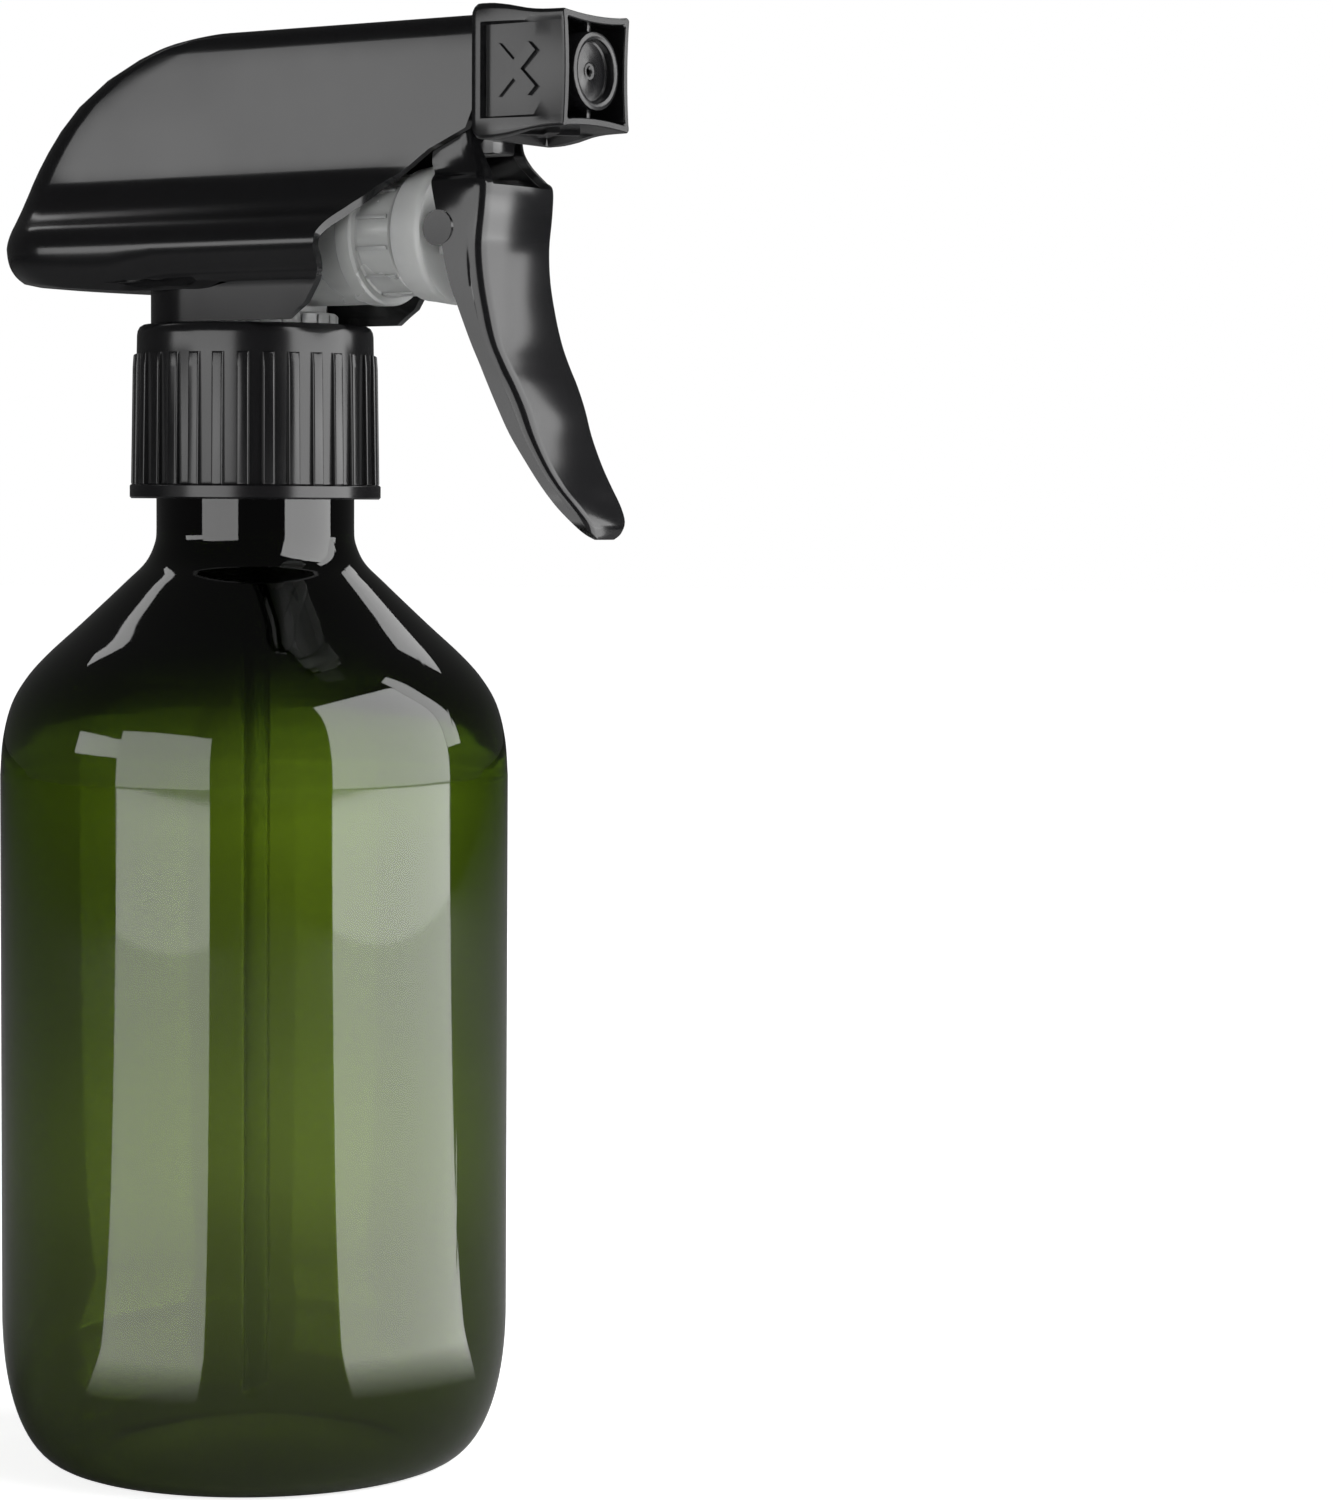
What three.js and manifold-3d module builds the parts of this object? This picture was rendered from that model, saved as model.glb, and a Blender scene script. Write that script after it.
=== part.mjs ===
// Trigger spray bottle: a round PET bottle, a ribbed screw closure and a trigger pump head.
// Millimetres, +Z up, +X is the spraying direction. The bottle stands on Z = 0.
import * as THREE from 'three';
import { mergeVertices } from 'three/addons/utils/BufferGeometryUtils.js';
import Module from 'manifold-3d';

const wasm = await Module();
wasm.setup();

// ---- driving dimensions ------------------------------------------------------------------

const bottleAxisX = -9.33; // puts the origin under the middle of the whole object

const bodyRadius = 36; // 500 ml class round bottle
const baseCornerWidth = 9.5; // the base corner is a tall, soft oval
const baseCornerHeight = 22;
const baseCornerPower = 2.2;
const pushUpHeight = 3.5;
const bottleWall = 0.9;
const barrelRadius = 14; // smooth neck under the closure
const barrelFoot = 133;
const shoulder = [ // radius and height of the cone and the shoulder, from the neck down
  [14.2, 131], [15.5, 128.2], [18.4, 125.3], [24.4, 119.6], [29.3, 115.1],
  [32.3, 111.7], [34.4, 108], [35.6, 103.2], [36, 98],
];
const finishRoot = 12.6; // 28 mm neck finish
const finishBore = 10.8;
const finishFoot = 138.5;
const finishTop = 156;
const threadPitch = 4.233;
const threadTurns = 1.25;
const threadStart = 142.5; // height of the middle of the bottle's thread where it starts

const closureFoot = 137.2;
const closureTop = 161.7;
const closureSkirtRadius = 17.75;
const closureBore = 14.3;
const ribCount = 30;
const ribFoot = 139.3;
const ribTop = 157;

const pumpHeight = 173.6; // height of the pump cylinder's axis
const drumRadius = 9.6;
const drumFront = 24.4;
const cylinderRadius = 8.25;
const cylinderBore = 6.9;
const cylinderFront = 30.2;
const barrelHeight = 194.5; // height of the discharge barrel's axis
const barrelOuter = 4.6;
const barrelBore = 2.6;

const pivot = { x: 40.8, z: 186.6 }; // trigger hinge
const pin = { x: 39.3, z: 173.8, radius: 1.6 }; // cross pin that the trigger pushes

const hoodWall = 1.2;
const hoodFront = 44;
const hoodTop = 202.4;
const skirtFoot = 162.1;
const skirtHalf = 13;
const tailOval = { x: -4, z: 174, a: 38.7, b: 28.5 }; // side view of the rounded tail

const nozzleBack = 44.2;
const nozzleFront = 58.8;
const nozzleHalf = 7.75;

const roundSteps = 32; // facets round the large turned pieces

// ---- materials ---------------------------------------------------------------------------

const finish = (color, roughness, opacity = 1) => new THREE.MeshStandardMaterial({
  color, roughness, metalness: 0, opacity, transparent: opacity < 1,
});
const greenPet = finish(0x2c4a12, 0.08, 0.7);
const blackPlastic = finish(0x0e0e10, 0.22);
const naturalPlastic = finish(0xd9dcda, 0.3, 0.7);
const sealFoam = finish(0xe8e8e4, 0.8);
const springSteel = new THREE.MeshStandardMaterial({ color: 0xb8bcc0, roughness: 0.3, metalness: 1 });
const glassBall = finish(0x9fb4b0, 0.05);

// ---- solid helpers -----------------------------------------------------------------------

function solid(geometry) { // a closed geometry as a solid that can be joined and cut
  const merged = mergeVertices(stripped(geometry), 1e-4);
  return new wasm.Manifold(new wasm.Mesh({
    numProp: 3,
    vertProperties: new Float32Array(merged.attributes.position.array),
    triVerts: new Uint32Array(merged.index.array),
  }));
}

function shape(body) { // and back
  const mesh = body.getMesh();
  const geometry = new THREE.BufferGeometry();
  geometry.setAttribute('position', new THREE.BufferAttribute(mesh.vertProperties, 3));
  geometry.setIndex(new THREE.BufferAttribute(mesh.triVerts, 1));
  return geometry;
}

const join = (...bodies) => bodies.reduce((a, b) => a.add(b));
const cut = (body, ...tools) => tools.reduce((a, b) => a.subtract(b), body);

// A turned piece about Z; the outline is a list of [radius, height]
function turned(outline, steps = roundSteps) {
  const points = outline.map(([r, z]) => new THREE.Vector2(r, z));
  const geometry = new THREE.LatheGeometry(points, steps).rotateX(Math.PI / 2);
  return solid(facingOut(geometry));
}

function facingOut(geometry) { // turns the faces over when they point in
  const merged = mergeVertices(stripped(geometry), 1e-4);
  const p = merged.attributes.position;
  const index = merged.index.array;
  const [a, b, c] = [new THREE.Vector3(), new THREE.Vector3(), new THREE.Vector3()];
  let volume = 0;
  for (let i = 0; i < index.length; i += 3) {
    a.fromBufferAttribute(p, index[i]);
    b.fromBufferAttribute(p, index[i + 1]);
    c.fromBufferAttribute(p, index[i + 2]);
    volume += a.dot(b.cross(c));
  }
  if (volume < 0) index.reverse();
  return merged;
}

function stripped(geometry) {
  const bare = geometry.clone();
  bare.deleteAttribute('normal');
  bare.deleteAttribute('uv');
  return bare;
}

// The same, lying along +X at a height; the outline is a list of [radius, x]
function turnedAlongX(outline, height, steps = 32) {
  const points = outline.map(([r, x]) => new THREE.Vector2(r, x));
  const geometry = new THREE.LatheGeometry(points, steps).rotateZ(-Math.PI / 2);
  return solid(facingOut(geometry.translate(0, 0, height)));
}

const rodZ = (r, z0, z1, x = 0, steps = 24) => turned([[0, z0], [r, z0], [r, z1], [0, z1]], steps)
  .translate([x, 0, 0]);
const rodX = (r, x0, x1, height, steps = 24) => turnedAlongX([[0, x0], [r, x0], [r, x1], [0, x1]], height, steps);

function rodY(r, half, x, z, steps = 20) {
  return solid(new THREE.CylinderGeometry(r, r, 2 * half, steps).translate(x, 0, z));
}

function block(x0, x1, half, z0, z1) {
  const box = new THREE.BoxGeometry(x1 - x0, 2 * half, z1 - z0);
  return solid(box.translate((x0 + x1) / 2, 0, (z0 + z1) / 2));
}

// A skin through a stack of rings with equal numbers of points, closed by a fan at each end
function lofted(rings) {
  const n = rings[0].length;
  const middle = (ring) => ring.reduce((a, p) => a.add(p), new THREE.Vector3()).divideScalar(n);
  const points = [...rings.flat(), middle(rings[0]), middle(rings.at(-1))];
  const index = [];
  for (let k = 0; k + 1 < rings.length; k += 1) {
    for (let i = 0; i < n; i += 1) {
      const j = (i + 1) % n;
      const [a, b, c, d] = [k * n + i, k * n + j, (k + 1) * n + j, (k + 1) * n + i];
      index.push(a, b, c, a, c, d);
    }
  }
  const last = (rings.length - 1) * n;
  for (let i = 0; i < n; i += 1) {
    const j = (i + 1) % n;
    index.push(points.length - 2, j, i, points.length - 1, last + i, last + j);
  }
  const geometry = new THREE.BufferGeometry().setFromPoints(points).setIndex(index);
  return solid(facingOut(geometry));
}

// An outline in the XZ plane, extruded across Y
function sideCut(outline, half) {
  const profile = new THREE.Shape(outline.map(([x, z]) => new THREE.Vector2(x, z)));
  const geometry = new THREE.ExtrudeGeometry(profile, { depth: 2 * half, bevelEnabled: false });
  return solid(geometry.rotateX(Math.PI / 2).translate(0, half, 0));
}

// An outline in the XY plane, extruded from z0 to z1
function planCut(profile, z0, z1, curveSegments = 12) {
  const geometry = new THREE.ExtrudeGeometry(profile, { depth: z1 - z0, bevelEnabled: false, curveSegments });
  return solid(geometry.translate(0, 0, z0));
}

// A straight bar of the given section, wound into a helix about Z. Each section point is [outward, up].
function wound(section, radius, pitch, turns, z0, stepsPerTurn = 24, taper = 0) {
  const profile = new THREE.Shape(section.map(([u, v]) => new THREE.Vector2(u, v)));
  const steps = Math.round(turns * stepsPerTurn);
  const bar = new THREE.ExtrudeGeometry(profile, { depth: 1, steps, bevelEnabled: false });
  const p = bar.attributes.position;
  for (let i = 0; i < p.count; i += 1) {
    const along = p.getZ(i);
    const angle = along * turns * 2 * Math.PI;
    const ends = Math.min(1, along / taper, (1 - along) / taper); // the thread runs out into the wall
    const grow = taper > 0 ? Math.max(0.05, ends) : 1;
    const r = radius + p.getX(i) * grow;
    p.setXYZ(i, r * Math.cos(angle), r * Math.sin(angle), z0 + p.getY(i) + angle / (2 * Math.PI) * pitch);
  }
  return solid(facingOut(bar));
}

const mix = (a, b, t) => a + (b - a) * t;

function between(table, z) { // straight-line reading of rows that start with a height, from high to low
  const k = Math.max(1, table.findIndex((row) => row[0] <= z));
  const [high, low] = [table[k - 1], table[k]];
  const t = (z - high[0]) / (low[0] - high[0]);
  return high.map((v, i) => mix(v, low[i], t));
}

// ---- bottle ------------------------------------------------------------------------------

function baseCorner(inset) { // from the standing ring up to the straight wall
  const points = [];
  const steps = 9;
  for (let i = 0; i <= steps; i += 1) {
    const up = 1 - Math.cos((i / steps) * Math.PI / 2);
    const out = Math.pow(1 - Math.pow(1 - up, baseCornerPower), 1 / baseCornerPower);
    const width = baseCornerWidth - inset;
    points.push([bodyRadius - baseCornerWidth + width * out, inset + (baseCornerHeight - inset) * up]);
  }
  return points;
}

function makeBottle() {
  const ring = bodyRadius - baseCornerWidth;
  const upper = [...shoulder].reverse();
  const outer = [
    [0, pushUpHeight], [9, pushUpHeight - 0.5], [17, pushUpHeight - 2], [ring - 4, 0],
    ...baseCorner(0), ...upper,
    [barrelRadius, barrelFoot], [barrelRadius, finishFoot], [finishRoot, finishFoot + 1], [finishRoot, finishTop],
  ];
  const inner = [
    [finishBore, finishTop], [finishBore, finishFoot - 2], [barrelRadius - 1.6, barrelFoot + 2],
    ...shoulder.map(([r, z]) => [r - bottleWall * 1.3, z - bottleWall * 0.6]),
    ...baseCorner(bottleWall).reverse(),
    [ring - 4, bottleWall], [17, pushUpHeight - 2 + bottleWall], [9, pushUpHeight - 0.5 + bottleWall],
    [0, pushUpHeight + bottleWall],
  ];
  const ridge = [[-0.5, -1.1], [0, -1.05], [1.1, -0.45], [1.1, 0.45], [0, 1.05], [-0.5, 1.1]];
  const thread = wound(ridge, finishRoot, threadPitch, threadTurns, threadStart, 24, 0.08);
  return join(turned([...outer, ...inner]), thread);
}

// ---- closure -----------------------------------------------------------------------------

function ribOutline(root, crest) {
  const profile = new THREE.Shape();
  const at = (r, turn) => [r * Math.cos(turn * 2 * Math.PI), r * Math.sin(turn * 2 * Math.PI)];
  for (let i = 0; i < ribCount; i += 1) {
    const steps = [[root, 0], [crest, 0.12], [crest, 0.43], [root, 0.55]];
    steps.forEach(([r, part]) => {
      const place = at(r, (i + part) / ribCount);
      if (i === 0 && part === 0) profile.moveTo(...place);
      else profile.lineTo(...place);
    });
  }
  profile.closePath();
  return profile;
}

function makeClosure() {
  const lipHole = 12.1;
  const shell = turned([
    [lipHole, closureTop], [lipHole, closureTop - 1.8], [closureBore, closureTop - 1.8], [closureBore, closureFoot],
    [closureSkirtRadius, closureFoot], [closureSkirtRadius, ribFoot], [16.4, ribFoot + 0.1], [16.4, ribTop - 0.5],
    [16.95, ribTop], [16.65, closureTop - 0.9], [16.35, closureTop - 0.3], [15.6, closureTop],
    [lipHole, closureTop],
  ], 2 * ribCount);
  const ribs = cut(
    planCut(ribOutline(16.6, 17.55), ribFoot - 0.2, ribTop - 0.6),
    rodZ(16, ribFoot - 1, ribTop + 1, 0, 2 * ribCount),
  );
  const tip = turned([[0, ribFoot - 1], [18.2, ribFoot - 1], [18.2, ribTop - 2.6], [16.7, ribTop - 0.6], [0, ribTop - 0.6]], 30);
  const ridge = [[0.6, -1.0], [0, -0.9], [-1.2, -0.35], [-1.2, 0.35], [0, 0.9], [0.6, 1.0]];
  const thread = wound(ridge, closureBore, threadPitch, threadTurns, threadStart + threadPitch / 2, 24, 0.08);
  return join(shell, ribs.intersect(tip), thread);
}

function makeGasket() {
  return turned([[10.9, 156.3], [13.7, 156.3], [13.7, 157.5], [10.9, 157.5], [10.9, 156.3]], 28);
}

// ---- connector, dip tube and inlet valve ---------------------------------------------------

function makeConnector() {
  const cup = turned([
    [2.4, 146], [3.6, 146], [4.1, 150], [4.1, 157.8], [13.8, 157.8], [13.8, 159.4], [11.5, 159.6], [11.5, 163.4],
    [10.5, 163.4], [10.5, 159.6], [2.9, 159.4], [2.9, 152.9], [1.5, 151.6], [1.5, 151], [2.4, 150.6], [2.4, 146],
  ], 28);
  const ribs = [];
  for (let i = 0; i < 12; i += 1) {
    const rib = solid(new THREE.BoxGeometry(0.6, 0.9, 3.5).translate(11.45, 0, 161.45));
    ribs.push(rib.rotate([0, 0, i * 30 + 15]));
  }
  return join(cup, ...ribs);
}

function makeDipTube() {
  const tube = turned([[1.5, 7], [2.1, 7], [2.1, 150.2], [1.5, 150.2], [1.5, 7]], 16);
  return cut(tube, sideCut([[-4, 5], [4, 5], [4, 12], [-4, 7]], 4)); // cut at a slant at its foot
}

// ---- pump body -----------------------------------------------------------------------------

function makePumpBody() {
  const outside = join(
    rodZ(10.1, 159.9, 167, 0, 32),
    rodX(drumRadius, -10, drumFront, pumpHeight, 32),
    rodX(cylinderRadius, drumFront - 1, cylinderFront, pumpHeight, 36),
    block(-4.5, 4.5, 4.2, 180, 192),
    rodX(barrelOuter, -5, 50.5, barrelHeight),
    block(38.2, 43.6, 3.9, 184, 191),
    block(4, 25.5, 0.8, 181, 191),
  );
  const ribs = [];
  for (let i = 0; i < 12; i += 1) {
    const rib = solid(new THREE.BoxGeometry(cylinderFront - drumFront, 0.6, 0.5));
    const raised = rib.translate([(cylinderFront + drumFront) / 2 - 0.3, 0, cylinderRadius]);
    ribs.push(raised.rotate([i * 30 + 15, 0, 0]).translate([0, 0, pumpHeight]));
  }
  return cut(
    join(outside, ...ribs),
    rodX(cylinderBore, -6, cylinderFront + 2, pumpHeight, 32),
    rodZ(8.9, 158, 161.4),
    rodZ(2, 158, 170),
    rodZ(1.6, 178, 195),
    rodX(barrelBore, -2, 52, barrelHeight),
    rodY(1.8, 6, pivot.x, pivot.z),
  );
}

function makePiston() {
  const turnedPart = turnedAlongX([
    [0, 6], [6.4, 6], [6.4, 6.9], [4.9, 7], [4.9, 8.9], [6.4, 9], [6.4, 10.2], [3.2, 11], [3.2, 34.2],
    [8.2, 35], [8.8, 34.2], [8.7, 30.9], [9.1, 30.9], [9.7, 35.2], [9.5, 36.4], [0, 36.4],
  ], pumpHeight, 36);
  const boss = block(35.8, 41.4, 5.2, pin.z - 3.4, pin.z + 3.4);
  return join(turnedPart, boss, rodY(pin.radius, 8.5, pin.x, pin.z));
}

function makePistonSeal() {
  return turnedAlongX([[5.1, 7.3], [6.7, 7.1], [6.5, 7.9], [6.7, 8.7], [5.1, 8.6], [5.1, 7.3]], pumpHeight, 32);
}

function makeReturnSpring() {
  const wire = 0.38;
  const section = Array.from({ length: 5 }, (_, i) => {
    const angle = (i / 5) * 2 * Math.PI;
    return [wire * Math.cos(angle), wire * Math.sin(angle)];
  });
  const turns = 6;
  const length = 10.2;
  const coil = wound(section, 4.9, length / turns, turns, 0, 14);
  return coil.rotate([0, 90, 0]).translate([-4.9, 0, pumpHeight]);
}

function makeOutletValve() {
  return turnedAlongX([[0, 20], [1.2, 20.2], [2.2, 21.6], [2.2, 22.4], [0.8, 22.8], [0.8, 27], [0, 27]], barrelHeight, 20);
}

function makeSwirlPlug() {
  const plug = turnedAlongX([[0, 44], [2.2, 44], [2.2, 50.6], [1.7, 51.6], [0, 51.6]], barrelHeight, 20);
  const slot = solid(new THREE.BoxGeometry(9, 0.8, 6).translate(48, 0, barrelHeight));
  const core = rodX(1.3, 43, 52, barrelHeight, 16);
  return cut(plug, slot.subtract(core));
}

// ---- trigger -------------------------------------------------------------------------------

// Height, front face, rear edge, half width at the front, half width at the rear
const triggerRows = [
  [189.3, 41.6, 40.0, 6.3, 6.3], [188.5, 42.7, 38.7, 6.5, 6.5], [186.5, 43.1, 37.4, 6.5, 6.5],
  [184.6, 43.5, 36.4, 6.5, 6.5], [182.8, 44.6, 36.2, 6.9, 6.5], [181.4, 45.75, 36.7, 7.6, 6.6],
  [180.6, 46.3, 37.1, 8.1, 7.7], [179.6, 47.0, 37.6, 8.5, 8.5], [176.0, 46.8, 39.0, 8.4, 9.3], [171.5, 46.3, 40.2, 8.2, 9.6],
  [167.0, 46.6, 41.2, 8.0, 9.5], [162.5, 47.5, 43.0, 7.85, 9.35], [158.5, 48.6, 44.7, 7.8, 9.2],
  [155.5, 50.0, 46.1, 7.6, 9.0], [152.8, 51.5, 47.3, 7.5, 8.8], [149.5, 53.0, 48.8, 7.2, 8.5],
  [146.0, 54.2, 50.5, 6.9, 8.1], [142.2, 56.0, 52.9, 6.5, 7.6], [139.2, 57.9, 54.9, 6.1, 7.1],
  [136.6, 59.9, 56.8, 5.4, 6.4], [134.4, 61.3, 58.5, 4.6, 5.2], [132.6, 61.3, 59.6, 3.4, 3.6],
  [131.8, 60.8, 60.2, 2.0, 2.0],
];

function triggerRing([z, front, rear, halfFront, halfRear]) {
  const depth = front - rear;
  const corner = Math.min(1.6, depth * 0.4, halfFront * 0.4);
  const side = [
    [rear, halfRear], [front - corner, halfFront], [front - corner * 0.3, halfFront - corner * 0.3],
    [front, halfFront - corner],
  ];
  const near = side.map(([x, y]) => new THREE.Vector3(x, -y, z));
  const far = side.map(([x, y]) => new THREE.Vector3(x, y, z)).reverse();
  return [...near, ...far];
}

function makeTrigger() {
  const plate = 1.6;
  const wall = 1.35;
  const openTop = 179.2; // above this height only the two arms stand
  const hollowRows = triggerRows.filter((row) => row[0] > 137).map(([z, front, rear, halfFront, halfRear]) => {
    const forward = z > openTop ? 6 : -plate;
    return [z, front + forward, rear - 8, halfFront - wall, halfRear - wall];
  });
  const [, openFront, openRear, openHalfFront, openHalfRear] = between(triggerRows, openTop);
  const split = hollowRows.findIndex((row) => row[0] <= openTop);
  const upper = [[195, 50, 25, 5.15, 5.15], ...hollowRows.slice(0, split),
    [openTop, openFront + 6, openRear - 8, openHalfFront - wall, openHalfRear - wall]];
  const lower = [[openTop + 0.5, openFront - plate, openRear - 8, openHalfFront - wall, openHalfRear - wall],
    ...hollowRows.slice(split)];
  const shellBody = cut(lofted(triggerRows.map(triggerRing)), lofted(upper.map(triggerRing)), lofted(lower.map(triggerRing)));
  const ears = [-1, 1].map((side) => rodY(2.4, 0.65, pin.x + 0.1, pin.z).translate([0, side * 8.9, 0]));
  const studs = [-1, 1].map((side) => rodY(1.45, 1.4, pivot.x, pivot.z).translate([0, side * 4, 0]));
  const slot = block(pin.x - 1.8, pin.x + 2.3, 8.75, pin.z - 3.4, pin.z + 1.95); // room for the pin to slide
  return join(cut(join(shellBody, ...ears), slot), ...studs);
}

// ---- shroud --------------------------------------------------------------------------------

const hoodHalf = [ // height and half width of the hood
  [hoodTop, 5.6], [202.0, 6.6], [201.0, 7.3], [199, 7.55], [182, 8.1], [180, 8.9], [178, 10.2], [176, 12.2],
  [174, 13.8], [172.5, 14.2], [170.8, 14.1], [169.4, 13.5], [168.5, 12.4], [168, 10.8],
];

const hoodFootTail = [[174, -42.65], [172, -42.2], [170.2, -41.2], [169, -39.4], [168, -35.5]]; // under the tail

// The closed underside climbs towards the tail's tip
const underLift = (x, z) => 2 * THREE.MathUtils.clamp((-14 - x) / 24, 0, 1) * THREE.MathUtils.clamp((174 - z) / 5, 0, 1);

function hoodRing(z, inset, at = z) {
  const half = between(hoodHalf, at)[1] - inset;
  const rise = (at - tailOval.z) / (tailOval.b - inset);
  const oval = (tailOval.a - inset) * Math.sqrt(Math.max(0, 1 - rise ** 2));
  const tip = at > tailOval.z ? tailOval.x - oval : between(hoodFootTail, at)[1] + inset;
  const straight = Math.max(-10, tip + half + 2);
  const ring = [new THREE.Vector3(hoodFront + 8, -half, z), new THREE.Vector3(straight, -half, z)];
  const steps = 14;
  for (let i = 0; i <= steps; i += 1) {
    const angle = (i / steps) * Math.PI;
    const x = tip + half - half * Math.sin(angle);
    ring.push(new THREE.Vector3(x, -half * Math.cos(angle), z + underLift(x, z)));
  }
  ring.push(new THREE.Vector3(straight, half, z));
  ring.push(new THREE.Vector3(hoodFront + 8, half, z));
  return ring;
}

function skirtPlan(half) {
  const profile = new THREE.Shape();
  profile.moveTo(30, -half);
  profile.lineTo(30, half);
  profile.lineTo(-2.3, half);
  profile.absarc(-2.3, 0, half, Math.PI / 2, 1.5 * Math.PI, false);
  return profile;
}

function makeShroud() {
  const heights = [hoodTop, 202, 201, 199, 196, 193, 190, 187, 184, 182, 180, 178, 176, 174, 172.5, 170.8, 169.4, 168.5, 168];
  const outer = lofted(heights.map((z) => hoodRing(z, 0)));
  const innerHeights = [201.2, 200.6, 198.5, 196, 193, 190, 187, 184, 182, 180, 178, 176, 174, 172.5, 170.8, 169.6];
  const inner = lofted(innerHeights.map((z) => hoodRing(z, hoodWall)));
  const skirt = planCut(skirtPlan(skirtHalf), skirtFoot, 169.1);
  const skirtBore = planCut(skirtPlan(skirtHalf - 1), skirtFoot - 1, 172.1);
  const kept = sideCut([
    [-60, 160], [16.3, 160], [16.3, skirtFoot], [19.3, 164.1], [21.2, 167], [22, 169.8], [21.6, 172.2],
    [23.1, 175], [28.7, 179.9], [33.1, 182], [39.4, 186.3], [hoodFront, 187.3], [hoodFront, 210], [-60, 210],
  ], 20);
  return cut(join(outer, skirt), inner, skirtBore).intersect(kept);
}

// ---- nozzle --------------------------------------------------------------------------------

function squareRing(x, half, corner) {
  const side = [[-half, -half + corner], [-half + corner, -half], [half - corner, -half], [half, -half + corner]];
  const back = side.map(([y, z]) => [-y, -z]);
  return [...side, ...back].map(([y, z]) => new THREE.Vector3(x, y, barrelHeight + z));
}

function makeNozzle() {
  const outer = lofted([
    squareRing(nozzleBack, nozzleHalf + 0.5, 1.2), squareRing(nozzleBack + 1, nozzleHalf + 1.25, 1.1),
    squareRing(nozzleBack + 4, nozzleHalf + 1.1, 0.8), squareRing(nozzleBack + 7.4, nozzleHalf + 0.4, 0.5),
    squareRing(nozzleFront - 5, nozzleHalf, 0.4), squareRing(nozzleFront, nozzleHalf, 0.4),
  ]);
  const hollow = lofted([
    squareRing(nozzleBack + 6.5, nozzleHalf - 1.5, 0.5), squareRing(nozzleFront + 1, nozzleHalf - 1, 0.5),
  ]);
  const cup = turnedAlongX([
    [0, 49], [5.3, 49], [5.3, nozzleFront], [4.2, nozzleFront], [4.2, nozzleFront - 1.4], [0, nozzleFront - 1.4],
  ], barrelHeight, 32);
  const webs = solid(new THREE.BoxGeometry(7.6, 1, 14.2).translate(nozzleFront - 4.6, 0, barrelHeight));
  const mark = [];
  [-1, 1].forEach((side) => {
    const arms = [-45, 45].map((angle) => solid(new THREE.BoxGeometry(8.4, 1, 1.7)).rotate([0, angle, 0]));
    mark.push(join(...arms).translate([50.6, side * (nozzleHalf + 0.75), barrelHeight]));
  });
  return cut(
    join(cut(outer, hollow), cup, webs.subtract(rodX(4.2, 50, 60, barrelHeight))),
    rodX(4.95, nozzleBack - 1, 51.2, barrelHeight, 28),
    rodX(2.9, 51, 54.5, barrelHeight),
    rodX(0.45, 54, nozzleFront + 1, barrelHeight, 10),
    ...mark,
  );
}

// ---- assembly ------------------------------------------------------------------------------

const sprayBottle = new THREE.Group();
sprayBottle.name = 'spray_bottle';
sprayBottle.position.x = bottleAxisX;

function place(name, body, material) {
  const mesh = new THREE.Mesh(shape(body), material);
  mesh.name = name;
  sprayBottle.add(mesh);
}

place('bottle', makeBottle(), greenPet);
place('closure', makeClosure(), blackPlastic);
place('neck_gasket', makeGasket(), sealFoam);
place('connector', makeConnector(), naturalPlastic);
place('dip_tube', makeDipTube(), naturalPlastic);
place('pump_body', makePumpBody(), naturalPlastic);
place('piston', makePiston(), naturalPlastic);
place('piston_seal', makePistonSeal(), sealFoam);
place('return_spring', makeReturnSpring(), springSteel);
place('outlet_valve', makeOutletValve(), naturalPlastic);
place('swirl_plug', makeSwirlPlug(), naturalPlastic);
place('trigger', makeTrigger(), blackPlastic);
place('shroud', makeShroud(), blackPlastic);
place('nozzle', makeNozzle(), blackPlastic);

const inletBall = new THREE.Mesh(stripped(new THREE.IcosahedronGeometry(2, 2)), glassBall);
inletBall.name = 'inlet_ball';
inletBall.position.set(0, 0, 154.6);
sprayBottle.add(inletBall);

export default sprayBottle;
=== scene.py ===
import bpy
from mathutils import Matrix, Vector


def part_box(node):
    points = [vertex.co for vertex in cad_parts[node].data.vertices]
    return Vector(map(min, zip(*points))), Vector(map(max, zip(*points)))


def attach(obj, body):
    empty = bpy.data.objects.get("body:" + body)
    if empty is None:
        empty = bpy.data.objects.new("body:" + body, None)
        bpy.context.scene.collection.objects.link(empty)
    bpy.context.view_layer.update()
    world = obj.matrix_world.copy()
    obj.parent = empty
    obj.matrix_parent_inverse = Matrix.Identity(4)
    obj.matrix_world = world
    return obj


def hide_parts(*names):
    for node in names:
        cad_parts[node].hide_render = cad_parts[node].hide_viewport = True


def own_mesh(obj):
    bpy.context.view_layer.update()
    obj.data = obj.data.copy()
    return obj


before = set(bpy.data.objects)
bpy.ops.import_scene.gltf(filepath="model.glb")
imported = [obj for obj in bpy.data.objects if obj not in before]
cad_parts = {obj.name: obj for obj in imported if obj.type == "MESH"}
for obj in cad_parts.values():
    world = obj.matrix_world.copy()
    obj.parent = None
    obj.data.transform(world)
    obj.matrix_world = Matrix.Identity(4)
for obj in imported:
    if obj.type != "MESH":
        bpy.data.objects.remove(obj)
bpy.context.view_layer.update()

import bpy
import bmesh
import math
from mathutils import Matrix, Vector

# Every piece is drawn in millimetres round the bottle's own axis, and put in place when it is finished.
mm = 0.001
bottleLow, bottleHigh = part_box("bottle")
axisX = (bottleLow.x + bottleHigh.x) / 2
scene = bpy.context.scene


# Mesh helpers: everything in them is in millimetres until finishMesh

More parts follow.
